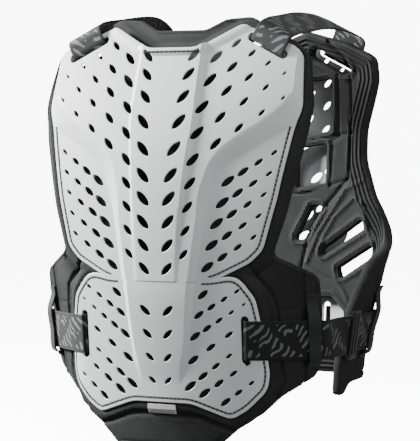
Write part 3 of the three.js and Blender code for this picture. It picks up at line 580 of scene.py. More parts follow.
# %% Slot rows
SLOT_LENGTH = 22 * MM
SLOT_ASPECT = 0.40
UPPER_SLOTS = [
    dict(x=(0.177, 0.177), level=(0.868, 0.868), count=1, size=(0.80, 0.80), tilt=46),
    dict(x=(0.161, 0.161), level=(0.797, 0.797), count=1, size=(0.84, 0.84), tilt=46),
    dict(x=(0.146, 0.146), level=(0.713, 0.713), count=1, size=(0.90, 0.90), tilt=46),
    dict(x=(0.137, 0.137), level=(0.620, 0.620), count=1, size=(0.98, 0.98), tilt=46),
    dict(x=(0.119, 0.119), level=(0.520, 0.520), count=1, size=(1.00, 1.00), tilt=46),
    dict(x=(0.107, 0.099), level=(0.422, 0.336), count=2, size=(1.00, 1.00), tilt=46),
    dict(x=(0.096, 0.087), level=(0.250, 0.075), count=3, size=(0.96, 0.84), tilt=46),
    dict(x=(0.471, 0.852), level=(0.916, 0.801), count=4, size=(0.62, 0.26), tilt=44),
    dict(x=(0.337, 0.865), level=(0.865, 0.710), count=5, size=(0.84, 0.30), tilt=45),
    dict(x=(0.318, 0.726), level=(0.778, 0.656), count=4, size=(0.90, 0.44), tilt=46),
    dict(x=(0.290, 0.574), level=(0.677, 0.600), count=3, size=(0.90, 0.62), tilt=46),
    dict(x=(0.274, 0.416), level=(0.581, 0.541), count=2, size=(0.90, 0.80), tilt=46),
    dict(x=(0.257, 0.210), level=(0.482, 0.130), count=5, size=(0.88, 0.66), tilt=47),
    dict(x=(0.509, 0.827), level=(0.405, 0.512), count=4, size=(0.86, 0.40), tilt=38),
    dict(x=(0.476, 0.799), level=(0.325, 0.434), count=4, size=(0.88, 0.40), tilt=38),
    dict(x=(0.437, 0.768), level=(0.247, 0.356), count=4, size=(0.88, 0.40), tilt=38),
    dict(x=(0.403, 0.736), level=(0.166, 0.277), count=4, size=(0.86, 0.40), tilt=38),
    dict(x=(0.371, 0.702), level=(0.084, 0.198), count=4, size=(0.84, 0.40), tilt=38),
]
LOWER_SLOTS = [
    dict(x=(0.110, 0.077), level=(-0.170, -0.719), count=4, size=(0.76, 0.52), tilt=42),
    dict(x=(0.425, 0.425), level=(-0.041, -0.041), count=1, size=(0.72, 0.72), tilt=40),
    dict(x=(0.385, 0.736), level=(-0.198, -0.009), count=4, size=(0.66, 0.36), tilt=38),
    dict(x=(0.345, 0.794), level=(-0.365, -0.109), count=5, size=(0.72, 0.24), tilt=38),
    dict(x=(0.322, 0.655), level=(-0.549, -0.345), count=3, size=(0.74, 0.52), tilt=38),
    dict(x=(0.288, 0.650), level=(-0.754, -0.510), count=4, size=(0.80, 0.40), tilt=38),
    dict(x=(0.418, 0.818), level=(-0.805, -0.566), count=4, size=(0.78, 0.34), tilt=38),
    dict(x=(0.606, 0.841), level=(-0.869, -0.717), count=3, size=(0.66, 0.36), tilt=38),
]
print("slots in one upper and one lower plate:",
      *(2 * sum(row["count"] for row in rows) for rows in (UPPER_SLOTS, LOWER_SLOTS)))

# %% Outline of one slot
LENS_POINTS = 16
LENS_TIP = 1.3
ROUND_END_STEPS = 6
RIM = 1.0 * MM
UNDERCUT = 0.9 * MM
THROUGH = 6 * MM


def lens(s, z, length, tilt, grow):
    """Outline of a lens slot that leans outwards, grown by a margin."""
    hand = math.copysign(1, s)
    run = Vector((math.cos(tilt) * hand, math.sin(tilt)))
    side = Vector((-run.y, run.x))
    points = []
    for k in range(LENS_POINTS):
        angle = math.tau * k / LENS_POINTS
        wide = math.copysign(abs(math.sin(angle)) ** LENS_TIP, math.sin(angle))
        p = run * math.cos(angle) * (length / 2 + grow) + side * wide * (length * SLOT_ASPECT / 2 + grow)
        points.append((s + p.x, z + p.y))
    return points


def slot_places(panel, rows, half):
    """Every slot of a table on both sides: place, length and tilt."""
    for row in rows:
        for k in range(row["count"]):
            t = k / max(row["count"] - 1, 1)
            x, level, size = (row[c][0] + (row[c][1] - row[c][0]) * t for c in ("x", "level", "size"))
            for side in (-1, 1):
                z = float(height_at(panel, level))
                yield side * x * half, z, SLOT_LENGTH * size, math.radians(row["tilt"])


def stadium(s, z, length, width, angle, grow=0.0):
    """Outline of a long slot with round ends."""
    run, side = Vector((math.cos(angle), math.sin(angle))), Vector((-math.sin(angle), math.cos(angle)))
    radius = width / 2 + grow
    points = []
    for end in (1, -1):
        for k in range(ROUND_END_STEPS + 1):
            a = math.pi * (k / ROUND_END_STEPS - 0.5)
            ahead = length / 2 - width / 2 + radius * math.cos(a)
            p = run * end * ahead + side * end * radius * math.sin(a)
            points.append((s + p.x, z + p.y))
    return points


widest = lens(0, 0, SLOT_LENGTH, 0, 0)
print("the largest slot is", round(2000 * max(z for s, z in widest), 1), "mm wide")

# %% [markdown]
# ## The plates
# Each plate is a flat board with rounded rims. Its slots, the two strap slots and the stitch groove are
# cut while it is flat, and then it is laid over the form with its relief: a centre strip, two shoulders
# that sweep in like a collar, and a neck rim. The board is stretched along the ridge lines first, so that
# the lines that slice it run exactly along each ridge and keep it crisp.

# %% Relief lines of the upper plate
UPPER_LINES = table(
    "level crest_in foot_in crest_out foot_out",
    (1.000, 0.229, 0.265, 0.940, 0.985), (0.820, 0.229, 0.265, 0.925, 0.985),
    (0.726, 0.232, 0.268, 0.921, 0.998), (0.680, 0.235, 0.271, 0.860, 1.000),
    (0.620, 0.232, 0.268, 0.710, 0.966), (0.584, 0.229, 0.262, 0.598, 0.860),
    (0.531, 0.213, 0.247, 0.463, 0.683), (0.479, 0.204, 0.238, 0.384, 0.530),
    (0.429, 0.195, 0.229, 0.348, 0.448), (0.350, 0.183, 0.213, 0.311, 0.396),
    (0.264, 0.171, 0.201, 0.296, 0.360), (0.000, 0.138, 0.168, 0.229, 0.280))
LOWER_LINES = table(
    "level crest_out foot_out step",
    (0.000, 0.288, 0.353, 1.00), (-0.070, 0.277, 0.338, 0.98), (-0.200, 0.265, 0.323, 0.85),
    (-0.390, 0.246, 0.292, 0.60), (-0.580, 0.215, 0.250, 0.30), (-0.750, 0.185, 0.200, 0.00),
    (-1.000, 0.185, 0.230, 0.00))
UPPER_COLUMNS = ("crest_in", "foot_in", "crest_out", "foot_out")
LOWER_COLUMNS = ("crest_out", "foot_out")
UPPER_REST = (0.20, 0.24, 0.55, 0.66)
LOWER_REST = (0.25, 0.31)
STRETCH = 1.35
print("ridge lines on each side:", len(UPPER_COLUMNS), "above the waist,", len(LOWER_COLUMNS), "below it")


# %% A map that straightens the ridges
class RidgeMap:
    """Stretches s until the ridge lines are straight. Knots are the lines, rest their even places."""

    def __init__(self, panel, lines, columns, half, rest):
        self.panel, self.lines, self.columns, self.half = panel, lines, columns, half
        self.rest = np.array([0, *rest, STRETCH]) * half

    def knots(self, z):
        level = np.clip(level_at(self.panel, z), self.lines["level"][0], self.lines["level"][-1])
        rows = [np.zeros_like(z)] + [along(self.lines, c, level) for c in self.columns]
        return np.stack([*rows, np.full_like(z, STRETCH)]) * self.half

    def _between(self, value, source, target):
        size, result = np.abs(value), np.zeros_like(value)
        for a, b, c, d in zip(source, source[1:], target, target[1:]):
            inside = (size >= a) & (size <= b)
            result = np.where(inside, c + (d - c) * (size - a) / (b - a), result)
        return np.sign(value) * result

    def stretched(self, points):
        s, z = np.array(points, float).T
        rest = np.repeat(self.rest[:, None], len(s), 1)
        return list(zip(self._between(s, self.knots(z), rest), z))

    def back(self, u, z):
        rest = np.repeat(self.rest[:, None], len(u), 1)
        return self._between(u, rest, self.knots(z))


# %% Outlines of the plates, as shares of the half width and levels, with radii in millimetres
UPPER_EDGE = [
    (0, 0.896, 0), (0.183, 0.897, 26), (0.500, 0.990, 14), (0.890, 0.906, 14), (0.962, 0.876, 14),
    (1.002, 0.677, 70), (0.963, 0.620, 60), (0.860, 0.337, 120), (0.768, 0.150, 26), (0.677, 0.102, 26),
    (0.396, 0.026, 60), (0, 0.000, 0)]
BACK_UPPER_EDGE = [
    (0, 0.896, 0), (0.183, 0.897, 26), (0.500, 0.985, 14), (0.890, 0.906, 14), (0.960, 0.876, 14),
    (0.975, 0.790, 40), (0.895, 0.584, 90), (0.885, 0.440, 60), (0.768, 0.150, 26), (0.677, 0.102, 26),
    (0.396, 0.026, 60), (0, 0.000, 0)]
LOWER_EDGE = [
    (0, -0.006, 0), (0.500, 0.038, 60), (0.735, 0.058, 26), (0.900, -0.070, 26), (0.977, -0.390, 60),
    (1.010, -0.640, 30), (0.990, -0.770, 30), (0.800, -0.930, 40), (0.654, -1.006, 16),
    (0.285, -0.893, 40), (0, -0.890, 0)]
SIDE_STRAP_DROP = 57 * MM
SIDE_SLOT = 104 * MM
SHOULDER_SLOT = 115 * MM
SLOT_SPAN = 55 * MM
STRAP_SLOT_WIDTH = 9 * MM
SHOULDER_TILT = math.radians(27)
SLOT_DROP = dict(front=29 * MM, back=37 * MM)
GROOVE_INSET = 5.2 * MM
GROOVE_WIDTH = 2.8 * MM
GROOVE_DEPTH = 1.2 * MM
STITCH_STEP = 2.6 * MM
OUTLINE_STEP = 3 * MM
BOARD_RIM = [(0.0, -PLATE_WALL), (0.0, -1.0 * MM), (0.35 * MM, -0.35 * MM), (1.0 * MM, 0.0)]
print("corners of the outlines:", len(UPPER_EDGE), len(BACK_UPPER_EDGE), len(LOWER_EDGE))


# %% Paths beside an outline
def dense(path, pitch):
    """The closed path with points added on its long sides."""
    points = []
    for a, b in zip(path, path[1:] + path[:1]):
        count = max(1, math.ceil(math.dist(a, b) / pitch))
        for k in range(count):
            points.append((a[0] + (b[0] - a[0]) * k / count, a[1] + (b[1] - a[1]) * k / count))
    return points


def outline(panel, edge, half):
    """A closed outline from its table of corners."""
    corners = [(x * half, float(height_at(panel, level)), r * MM) for x, level, r in edge]
    return dense(clockwise(rounded(both_sides(corners))), OUTLINE_STEP)


def runs_of(path, keep):
    """The stretches of a closed path whose points pass a test."""
    count = len(path)
    start = next(k for k in range(count) if not keep(*path[k]))
    runs, run = [], []
    for k in range(start, start + count + 1):
        p = path[k % count]
        if keep(*p):
            run.append(p)
        elif run:
            runs.append(run)
            run = []
    return [r for r in runs if len(r) > 2]


def even(path, pitch):
    """Points at an even pitch along a line."""
    p = np.array(path)
    steps = np.hypot(*np.diff(p, axis=0).T)
    travelled = np.concatenate([[0], np.cumsum(steps)])
    where = np.linspace(0, travelled[-1], max(3, round(travelled[-1] / pitch)))
    return [tuple(q) for q in np.stack([np.interp(where, travelled, p[:, k]) for k in (0, 1)], 1)]


def groove_paths(panel, edge, half, keep):
    """The stitch groove's line inside an outline, where a test keeps it."""
    inner = offset(outline(panel, edge, half), GROOVE_INSET)
    closed = inner + inner[:1]
    return runs_of(even(closed, STITCH_STEP)[:-1], keep)


print("the upper outline has", len(outline(FRONT, UPPER_EDGE, HALF_WIDTH)), "points")


# %% One plate
SLOT_RINGS = [(-THROUGH, UNDERCUT), (-1.8 * MM, UNDERCUT), (-RIM, 0), (-0.3 * RIM, 0.4 * RIM),
              (0.4 * RIM, 1.4 * RIM)]
STRAP_SLOT_RINGS = [(-THROUGH, 0), (-RIM, 0), (0.4 * RIM, RIM)]


def add_cutter(bm, ridge, rings):
    loft(bm, [(ridge.stretched(points), lift) for points, lift in rings])


def plate(name, panel, edge, half, slots, ridge, straps, grooves, lines, relief):
    """A plate: cut and sliced while it is flat and stretched, then laid over the form."""
    shape = outline(panel, edge, half)
    board = bmesh.new()
    loft(board, [(ridge.stretched(offset(shape, inset)), lift) for inset, lift in BOARD_RIM])
    tools = bmesh.new()
    for s, z, length, tilt in slot_places(panel, slots, half):
        add_cutter(tools, ridge, [(lens(s, z, length, tilt, grow), lift) for lift, grow in SLOT_RINGS])
    for s, z, angle in straps:
        add_cutter(tools, ridge, [(stadium(s, z, SLOT_SPAN, STRAP_SLOT_WIDTH, angle, grow), lift)
                                  for lift, grow in STRAP_SLOT_RINGS])
    for path in grooves:
        left, right = (offset(path, side * GROOVE_WIDTH / 2, closed=False) for side in (1, -1))
        ring = left + right[::-1]
        add_cutter(tools, ridge, [(ring, -GROOVE_DEPTH), (ring, THROUGH)])
    board = carved(board, tools, name)
    u_lines, z_lines = lines
    sliced(board, u_lines, z_lines)
    verts = list(board.verts)
    co = np.array([v.co for v in verts])
    co[:, 0] = ridge.back(co[:, 0], co[:, 1])
    for v, p in zip(verts, co):
        v.co = p
    wrapped(board, panel, relief)
    return piece(name, board, WHITE, "moulded_plate", name)


print("a slot is cut by", len(SLOT_RINGS), "rings")

# %% Relief and slice lines
CELL = 2.6 * MM
NARROW = 8 * MM
NARROW_SHARE = 0.55
FADE_LEVEL = 0.5
FADE_LEAST = 0.15
NECK_RIM = 2.0 * MM
NECK_RIM_WIDTH = 9 * MM


def steps(start, end, size):
    """Even places from a start to just before an end."""
    return list(np.linspace(start, end, max(2, round((end - start) / size) + 1)))[:-1]


def slice_lines(panel, ridge, level_low, level_high):
    """Lines across the stretched board: an even cell, with a line on every ridge."""
    halves = []
    for a, b in zip(ridge.rest, ridge.rest[1:]):
        halves += steps(a, b, CELL * (NARROW_SHARE if b - a < NARROW else 1))
    both = sorted({round(v, 6) for v in halves} | {round(-v, 6) for v in halves})
    low, high = (float(height_at(panel, level)) for level in (level_low, level_high))
    return both, steps(low, high, CELL)


def upper_relief(panel, neck):
    """Extra lift of an upper plate: its two ridges on each side, and the raised rim of the neck."""
    def relief(s, z, lift):
        level = level_at(panel, z)
        half = np.abs(s) / HALF_WIDTH
        crest_in, foot_in, crest_out, foot_out = (along(UPPER_LINES, c, level) for c in UPPER_COLUMNS)
        inner, outer = ramp(half, crest_in, foot_in), ramp(half, crest_out, foot_out)
        fade = np.clip(level / FADE_LEVEL, FADE_LEAST, 1)
        rim = 1 - ramp(distance_to(neck, s, z), NECK_RIM_WIDTH * 0.72, NECK_RIM_WIDTH)
        return OUTER_RIDGE * (1 - outer) + INNER_RIDGE * fade * (1 - inner) + NECK_RIM * rim
    return relief


def lower_relief(panel):
    """Extra lift of a lower plate: its ridge runs out downwards."""
    def relief(s, z, lift):
        level = np.minimum(level_at(panel, z), 0)
        half = np.abs(s) / LOWER_HALF
        outer = ramp(half, along(LOWER_LINES, "crest_out", level), along(LOWER_LINES, "foot_out", level))
        return OUTER_RIDGE * np.clip(along(LOWER_LINES, "step", level), 0, 1) * (1 - outer)
    return relief


print("a plate is sliced every", round(CELL / MM, 1), "mm")

# %% The four plates
NECK_REACH = 82 * MM
NECK_LOW = 190 * MM
NECK_STITCHES = (-36 * MM, 0, 36 * MM)
NECK_STITCH_LEVEL = 0.880
SIDE_STITCH_LEVEL = 0.615
STITCHED = []
for panel, edge in ((FRONT, UPPER_EDGE), (BACK, BACK_UPPER_EDGE)):
    name = panel["name"]
    ridge = RidgeMap(panel, UPPER_LINES, UPPER_COLUMNS, HALF_WIDTH, UPPER_REST)
    slot_z = float(height_at(panel, 1)) - SLOT_DROP[name]
    straps = [(side * SHOULDER_SLOT, slot_z, -side * SHOULDER_TILT) for side in (-1, 1)]
    shape = outline(panel, edge, HALF_WIDTH)
    neck = [p for p in even(shape + shape[:1], 4 * MM) if abs(p[0]) < NECK_REACH and p[1] > NECK_LOW]
    neck.sort()
    start = float(height_at(panel, SIDE_STITCH_LEVEL))
    grooves = groove_paths(panel, edge, HALF_WIDTH, lambda s, z: z < start and abs(s) > 62 * MM)
    neck_stitch_z = float(height_at(panel, NECK_STITCH_LEVEL))
    grooves.append(even([(s, neck_stitch_z) for s in NECK_STITCHES], STITCH_STEP))
    relief = upper_relief(panel, neck)
    plate(name + "_upper_plate", panel, edge, HALF_WIDTH, UPPER_SLOTS, ridge, straps, grooves,
          slice_lines(panel, ridge, -0.02, 1.03), relief)
    STITCHED.append((panel, grooves, relief))

    ridge = RidgeMap(panel, LOWER_LINES, LOWER_COLUMNS, LOWER_HALF, LOWER_REST)
    side_z = WAIST - SIDE_STRAP_DROP
    straps = [(side * SIDE_SLOT, side_z, math.pi / 2) for side in (-1, 1)]
    grooves = groove_paths(panel, LOWER_EDGE, LOWER_HALF, lambda s, z: z < -80 * MM or abs(s) > 52 * MM)
    relief = lower_relief(panel)
    plate(name + "_lower_plate", panel, LOWER_EDGE, LOWER_HALF, LOWER_SLOTS, ridge, straps, grooves,
          slice_lines(panel, ridge, -1.03, 0.09), relief)
    STITCHED.append((panel, grooves, relief))

# %% [markdown]
# ## The liners
# Under the plates lies moulded foam, 12 mm thick, with a knit face. It stands out round the plates as a
# roll, narrows at the waist and wraps the sides in two wings. In the far liner, windows between the pads
# let air through. Moulded foam keeps the shape of its mould, so it is displaced here and not simulated:
# its grooves and pads follow from the distance to the outline, to the windows and to a few sewn lines.

# %% Liner patterns
BACK_WINDOWS = [
    [(0.42, 0.795), (0.695, 0.805), (0.675, 0.600), (0.42, 0.575)],
    [(0.40, 0.525), (0.640, 0.545), (0.622, 0.385), (0.38, 0.365)],
    [(0.515, 0.290), (0.605, 0.290), (0.450, 0.150), (0.380, 0.150)],
    [(0.615, 0.112), (0.945, 0.236), (0.958, 0.198), (0.620, 0.088)],
    [(0.755, 0.040), (1.035, 0.132), (1.052, 0.092), (0.780, 0.000)],
    [(0.43, -0.170), (0.710, -0.170), (0.860, -0.330), (0.800, -0.420), (0.43, -0.420)]]
WINDOW_RADIUS = 3 * MM
LINER_SLOT_WIDTH = 13 * MM
FRONT_LINER_EDGE = [
    (0, 0.989, 0), (0.190, 0.989, 14), (0.330, 1.028, 14), (0.520, 1.038, 20), (0.905, 0.928, 20),
    (1.000, 0.880, 16),
    (1.070, 0.700, 70), (1.030, 0.550, 60), (0.930, 0.300, 80), (0.832, 0.128, 12), (1.175, 0.047, 14),
    (1.196, -0.150, 30), (1.194, -0.550, 30), (1.150, -0.680, 20), (0.900, -0.830, 26),
    (0.760, -0.960, 30), (0.560, -1.090, 20), (0.455, -1.190, 16), (0.395, -1.258, 12), (0, -1.276, 0)]
BACK_LINER_EDGE = [
    (0, 0.950, 0), (0.230, 0.950, 30), (0.500, 1.002, 14), (0.850, 0.950, 30), (1.075, 0.890, 16),
    (1.092, 0.800, 30), (0.975, 0.600, 60), (0.962, 0.480, 60), (1.045, 0.333, 60), (1.150, 0.244, 60),
    (1.290, 0.140, 40), (1.560, 0.075, 20), (1.590, -0.100, 30), (1.612, -0.500, 40),
    (1.600, -0.900, 30), (1.570, -1.240, 12), (1.480, -1.225, 12), (1.410, -1.120, 20),
    (0.800, -1.085, 60), (0, -1.095, 0)]
LINER_FACE = -(PLATE_WALL + FOAM_GAP)
FOAM_RIM = [(3.4 * MM, 0.0), (1.0 * MM, 1.0 * MM), (0.0, 3.4 * MM)]
WINDOW_FLARE = [(-2 * MM, -3 * MM), (1.0 * MM, -1.0 * MM), (3.4 * MM, 0.0)]
FOAM_CELL = 2.5 * MM
print("windows on each side of the far liner:", len(BACK_WINDOWS))


# %% Openings, and the shape of a groove
def openings_of(panel):
    """Outlines of the holes through a liner: its windows, and the strap's slot on each shoulder."""
    slot_z = float(height_at(panel, 1)) - SLOT_DROP[panel["name"]]
    for side in (-1, 1):
        for corners in BACK_WINDOWS if panel is BACK else ():
            shape = []
            for x, level in corners:
                shape.append((side * x * HALF_WIDTH, float(height_at(FRONT, level)), WINDOW_RADIUS))
            yield clockwise(rounded(shape))
        tilt = -side * SHOULDER_TILT
        yield clockwise(stadium(side * SHOULDER_SLOT, slot_z, SLOT_SPAN, LINER_SLOT_WIDTH, tilt))


def groove(distance, width):
    """1 in the middle of a groove, falling to 0 at its width."""
    return np.clip(1 - (distance / width) ** 2, 0, 1) ** 1.5


def line(*points):
    """A sewn line from places in millimetres."""
    return [(s * MM, z * MM) for s, z in points]


print("openings in each liner:", *(len(list(openings_of(panel))) for panel in (FRONT, BACK)))

# %% Relief of the near liner
ROLL_HEIGHT = 2.6 * MM
ROLL_WIDTH = 11 * MM
ROLL_FULLNESS = 0.7
EDGE_SEAM = 5.5 * MM
PAD_RISE = 0.8 * MM
PAD_START = 15 * MM
PAD_END = 18 * MM
CHANNELS = (9 * MM, 18 * MM)
WING_GROOVES = [
    line((116, -53), (135, -72), (143, -95), (145, -153), (149, -174), (139, -196), (112, -217)),
    line((108, -38), (116, -53), (136, -39)), line((172.5, -48), (172.5, -182))]
WING_SEAM = line((144, -94), (168, -92))
WING_RIDGE = line((168, -48), (168, -180))
APRON_GROOVE = line((0, -215), (45, -216), (64, -224), (86, -232))


def front_foam(s, z, lift):
    """The near side: a roll round the plates, wing pads with a ridge, and grooves between them."""
    outer = lift > LINER_FACE - FOAM / 2
    reach = np.abs(s)
    edge = distance_to(FRONT_SHAPE, s, z, closed=True)
    upper, lower = FRONT_PLATES
    plates = np.minimum(distance_to(upper, s, z, True), distance_to(lower, s, z, True))
    clear = ~(inside(upper, s, z) | inside(lower, s, z))
    roll = ROLL_HEIGHT * np.sin(math.pi * np.clip(plates / ROLL_WIDTH, 0, 1)) ** ROLL_FULLNESS
    roll -= 0.9 * MM * groove(edge - EDGE_SEAM, 1.8 * MM)
    roll += PAD_RISE * ramp(plates, PAD_START, PAD_END)
    for path in (*WING_GROOVES, APRON_GROOVE):
        roll -= 2.6 * MM * groove(distance_to(path, reach, z), 3.2 * MM)
    roll += 1.3 * MM * groove(distance_to(WING_RIDGE, reach, z), 3 * MM)
    roll -= 0.8 * MM * groove(distance_to(WING_SEAM, reach, z), 2 * MM)
    inner = sum(1.2 * MM * groove(edge - channel, 3 * MM) for channel in CHANNELS)
    return np.where(outer, np.where(clear, roll, 0), inner)


print("sewn lines on the near liner:", len(WING_GROOVES) + 3)

# %% Relief of the far liner
STEP_LINE = line((112, 222), (136, 200), (141, 186), (142, 152), (140, 108), (138, 73), (136, 53),
                 (113, 28), (90, 0), (79, -28), (73, -56), (70, -90))
RIM_LINES = [line((80, -52), (94, -17), (132, 39), (156, 50)),
             line((80, -52), (116, -69), (132, -85), (139, -97)),
             line((156, 22), (162, 2), (167, -19), (190, -50)),
             line((95, -41), (102, -21), (117, 4), (144, 29), (156, 22))]
PAD_GROOVES = [line((0, 97), (78, 99), (142, 109)), line((0, 30), (77, 34), (134, 51)),
               line((124, 200), (123, 104), (112, 98)), line((113, 92), (109, 44))]
RIB_HEIGHT = 0.5 * MM
RIB_REACH = (60 * MM, 215 * MM)


def rib_share(s, edge):
    """1 where the armhole's ribs run, and 0 elsewhere."""
    reach = np.abs(s)
    return (edge > RIBS_START) & (edge < RIBS_END) & (reach > RIB_REACH[0]) & (reach < RIB_REACH[1])


def back_foam(s, z, lift):
    """The far side's inner face: ribs at the armhole, a step beside them, and pads between windows."""
    outer = lift > LINER_FACE - FOAM / 2
    reach = np.abs(s)
    edge = distance_to(BACK_SHAPE, s, z, closed=True)
    window = np.full(len(s), 1.0)
    for path in openings_of(BACK):
        window = np.minimum(window, distance_to(path, s, z, True))
    form = RIB_HEIGHT * rib_share(s, edge) + 1.6 * MM * groove(window - 6 * MM, 3 * MM)
    form -= 2.2 * MM * groove(distance_to(STEP_LINE, reach, z), 3.0 * MM)
    for path in PAD_GROOVES:
        form -= 1.6 * MM * groove(distance_to(path, reach, z), 3.0 * MM) * (window > 3 * MM)
    for path in RIM_LINES:
        form += 1.7 * MM * groove(distance_to(path, reach, z), 3.4 * MM)
    return np.where(outer, -1.4 * MM * groove(edge - 9 * MM, 3 * MM), -form)


def inside(path, s, z):
    """Which places lie inside a closed line."""
    p = np.array(path)
    crossings = np.zeros(len(s), int)
    for a, b in zip(p, np.roll(p, -1, 0)):
        if a[1] == b[1]:
            continue
        between = (z >= min(a[1], b[1])) & (z < max(a[1], b[1]))
        x = a[0] + (b[0] - a[0]) * (z - a[1]) / (b[1] - a[1])
        crossings += between & (x > s)
    return crossings % 2 == 1


print("ribs along each armhole:", round((RIBS_END - RIBS_START) / RIB_PITCH))


# %% The two liners
def liner(name, panel, shape, relief):
    """A foam board with its openings cut, sliced into cells, pressed into relief and laid on the form."""
    board = bmesh.new()
    top = LINER_FACE
    low = LINER_FACE - FOAM
    rings = [(inset, low + rise) for inset, rise in FOAM_RIM]
    rings += [(inset, top - rise) for inset, rise in FOAM_RIM[::-1]]
    loft(board, [(offset(shape, inset), lift) for inset, lift in rings])
    tools = bmesh.new()
    flare = [(low + rise, grow) for rise, grow in WINDOW_FLARE]
    flare += [(top - rise, grow) for rise, grow in WINDOW_FLARE[::-1]]
    for path in openings_of(panel):
        loft(tools, [(offset(path, grow), lift) for lift, grow in flare])
    board = carved(board, tools, name)
    p = np.array(shape)
    s_lines, z_lines = (steps(p[:, k].min(), p[:, k].max(), FOAM_CELL)[1:] for k in (0, 1))
    sliced(board, s_lines, z_lines)
    edge_layer = board.verts.layers.float.new("rib_edge")
    share_layer = board.verts.layers.float.new("rib_share")
    verts = list(board.verts)
    s, z, lift = np.array([v.co for v in verts]).T
    edge = distance_to(shape, s, z, closed=True)
    share = rib_share(s, edge) & (lift < LINER_FACE - FOAM / 2) & (panel is BACK)
    for v, distance, ribbed in zip(verts, edge, share):
        v[edge_layer] = distance
        v[share_layer] = ribbed
    wrapped(board, panel, relief)
    obj = piece(name, board, FOAM_BLACK, "liner_foam", name)
    return obj


FRONT_SHAPE = outline(FRONT, FRONT_LINER_EDGE, HALF_WIDTH)
BACK_SHAPE = outline(BACK, BACK_LINER_EDGE, HALF_WIDTH)
FRONT_PLATES = [outline(FRONT, UPPER_EDGE, HALF_WIDTH), outline(FRONT, LOWER_EDGE, LOWER_HALF)]
liner("front_liner", FRONT, FRONT_SHAPE, front_foam)
liner("back_liner", BACK, BACK_SHAPE, back_foam)

# %% [markdown]
# ## Webbing
# A strap is woven flat and only bends along its length, so it starts as a grid as long as its route. The
# grid is thickened, its rim is rounded, and then each vertex moves to its place along the route. The
# route is the same smooth curve as the solid's, through the same points.

# %% Routes
STRAP_WIDTH = 45 * MM
STRAP_THICKNESS = 2 * MM
STRAP_LIFT = 1.4 * MM
SHOULDER_RIDE = 2.4 * MM
ROUTE_SAMPLES = 500
CLOSE = 1e-5


def catmull(points, t):
    """A smooth curve through points, spaced so that it can't loop between close ones."""
    p = np.array(points, float)
    last = len(p) - 1
    where = np.clip(t * last, 0, last - 1e-9)
    k = where.astype(int)
    w = (where - k)[:, None]
    full = np.vstack([2 * p[0] - p[1], p, 2 * p[-1] - p[-2]])
    a, b, c, d = (full[k + i] for i in range(4))
    ab, bc, cd = (np.maximum(np.linalg.norm(v - u, axis=1)[:, None], CLOSE) ** 0.5
                  for u, v in ((a, b), (b, c), (c, d)))
    start = ((b - a) / ab - (c - a) / (ab + bc) + (c - b) / bc) * bc
    end = ((c - b) / bc - (d - b) / (bc + cd) + (d - c) / cd) * bc
    return (b + start * w + (-3 * b + 3 * c - 2 * start - end) * w ** 2
            + (2 * b - 2 * c + start + end) * w ** 3)


def unit(v):
    return v / np.linalg.norm(v, axis=-1, keepdims=True)


class Route:
    """A curve with a width direction at each of its points, measured by length."""

    def __init__(self, centres, acrosses, start=0.0, end=1.0):
        t = np.linspace(start, end, ROUTE_SAMPLES)
        self.centre = catmull(centres, t)
        self.across = unit(catmull(acrosses, t))
        ahead = unit(np.gradient(self.centre, axis=0))
        self.out = unit(np.cross(ahead, self.across))
        step_lengths = np.linalg.norm(np.diff(self.centre, axis=0), axis=1)
        self.run = np.concatenate([[0], np.cumsum(step_lengths)])
        self.length = float(self.run[-1])

    def _at(self, values, x):
        return np.stack([np.interp(x, self.run, values[:, k]) for k in range(3)], 1)

    def place(self, x, y, z):
        sideways = self._at(self.across, x) * y[:, None]
        outwards = self._at(self.out, x) * z[:, None]
        return self._at(self.centre, x) + sideways + outwards


print("a route is measured at", ROUTE_SAMPLES, "points")


# %% A band of webbing
RIM_ANGLE = math.radians(60)


def band(name, route, width, thickness, material, slot, node, cell=3 * MM, rim=0.6 * MM):
    """A woven band along a route, with a UV map that runs along and across it in metres."""
    bm = bmesh.new()
    along_steps, across_steps = max(4, round(route.length / cell)), max(4, round(width / cell))
    made = bmesh.ops.create_grid(bm, x_segments=along_steps, y_segments=across_steps, size=0.5)
    bmesh.ops.scale(bm, vec=(route.length, width, 1), verts=made["verts"])
    bmesh.ops.translate(bm, vec=(route.length / 2, 0, -thickness / 2), verts=made["verts"])
    grown = bmesh.ops.extrude_face_region(bm, geom=bm.faces[:], use_keep_orig=True)["geom"]
    lid = [g for g in grown if isinstance(g, bmesh.types.BMVert)]
    bmesh.ops.translate(bm, vec=(0, 0, thickness), verts=lid)
    bmesh.ops.recalc_face_normals(bm, faces=bm.faces)
    rims = [e for e in bm.edges if e.is_manifold and e.calc_face_angle() > RIM_ANGLE]
    bmesh.ops.bevel(bm, geom=rims, offset=rim, segments=2, profile=0.5, affect="EDGES", material=-1,
                    clamp_overlap=True)
    layer = bm.loops.layers.uv.new("band")
    for face in bm.faces:
        for loop in face.loops:
            loop[layer].uv = (loop.vert.co.x, loop.vert.co.y + width / 2)
    verts = list(bm.verts)
    spots = route.place(*np.array([v.co for v in verts]).T)
    for v, p in zip(verts, spots):
        v.co = p
    bmesh.ops.recalc_face_normals(bm, faces=bm.faces)
    print(name, "is", round(route.length, 3), "m long")
    return piece(name, bm, material, slot, node)


# %% Shoulder straps
FRONT_RUN = [(-2.0, -2.6), (-0.5, 0.5), (5.0, 2.4), (17.0, 4.4)]
BACK_RUN = [(33.0, 3.4), (5.0, 2.4), (-0.5, 0.5), (-2.0, -2.6)]
FRONT_SWING = (0.5, 0.66)
BACK_SWING = (0.45, 0.8)
SHOULDER_SWAY = 5 * MM


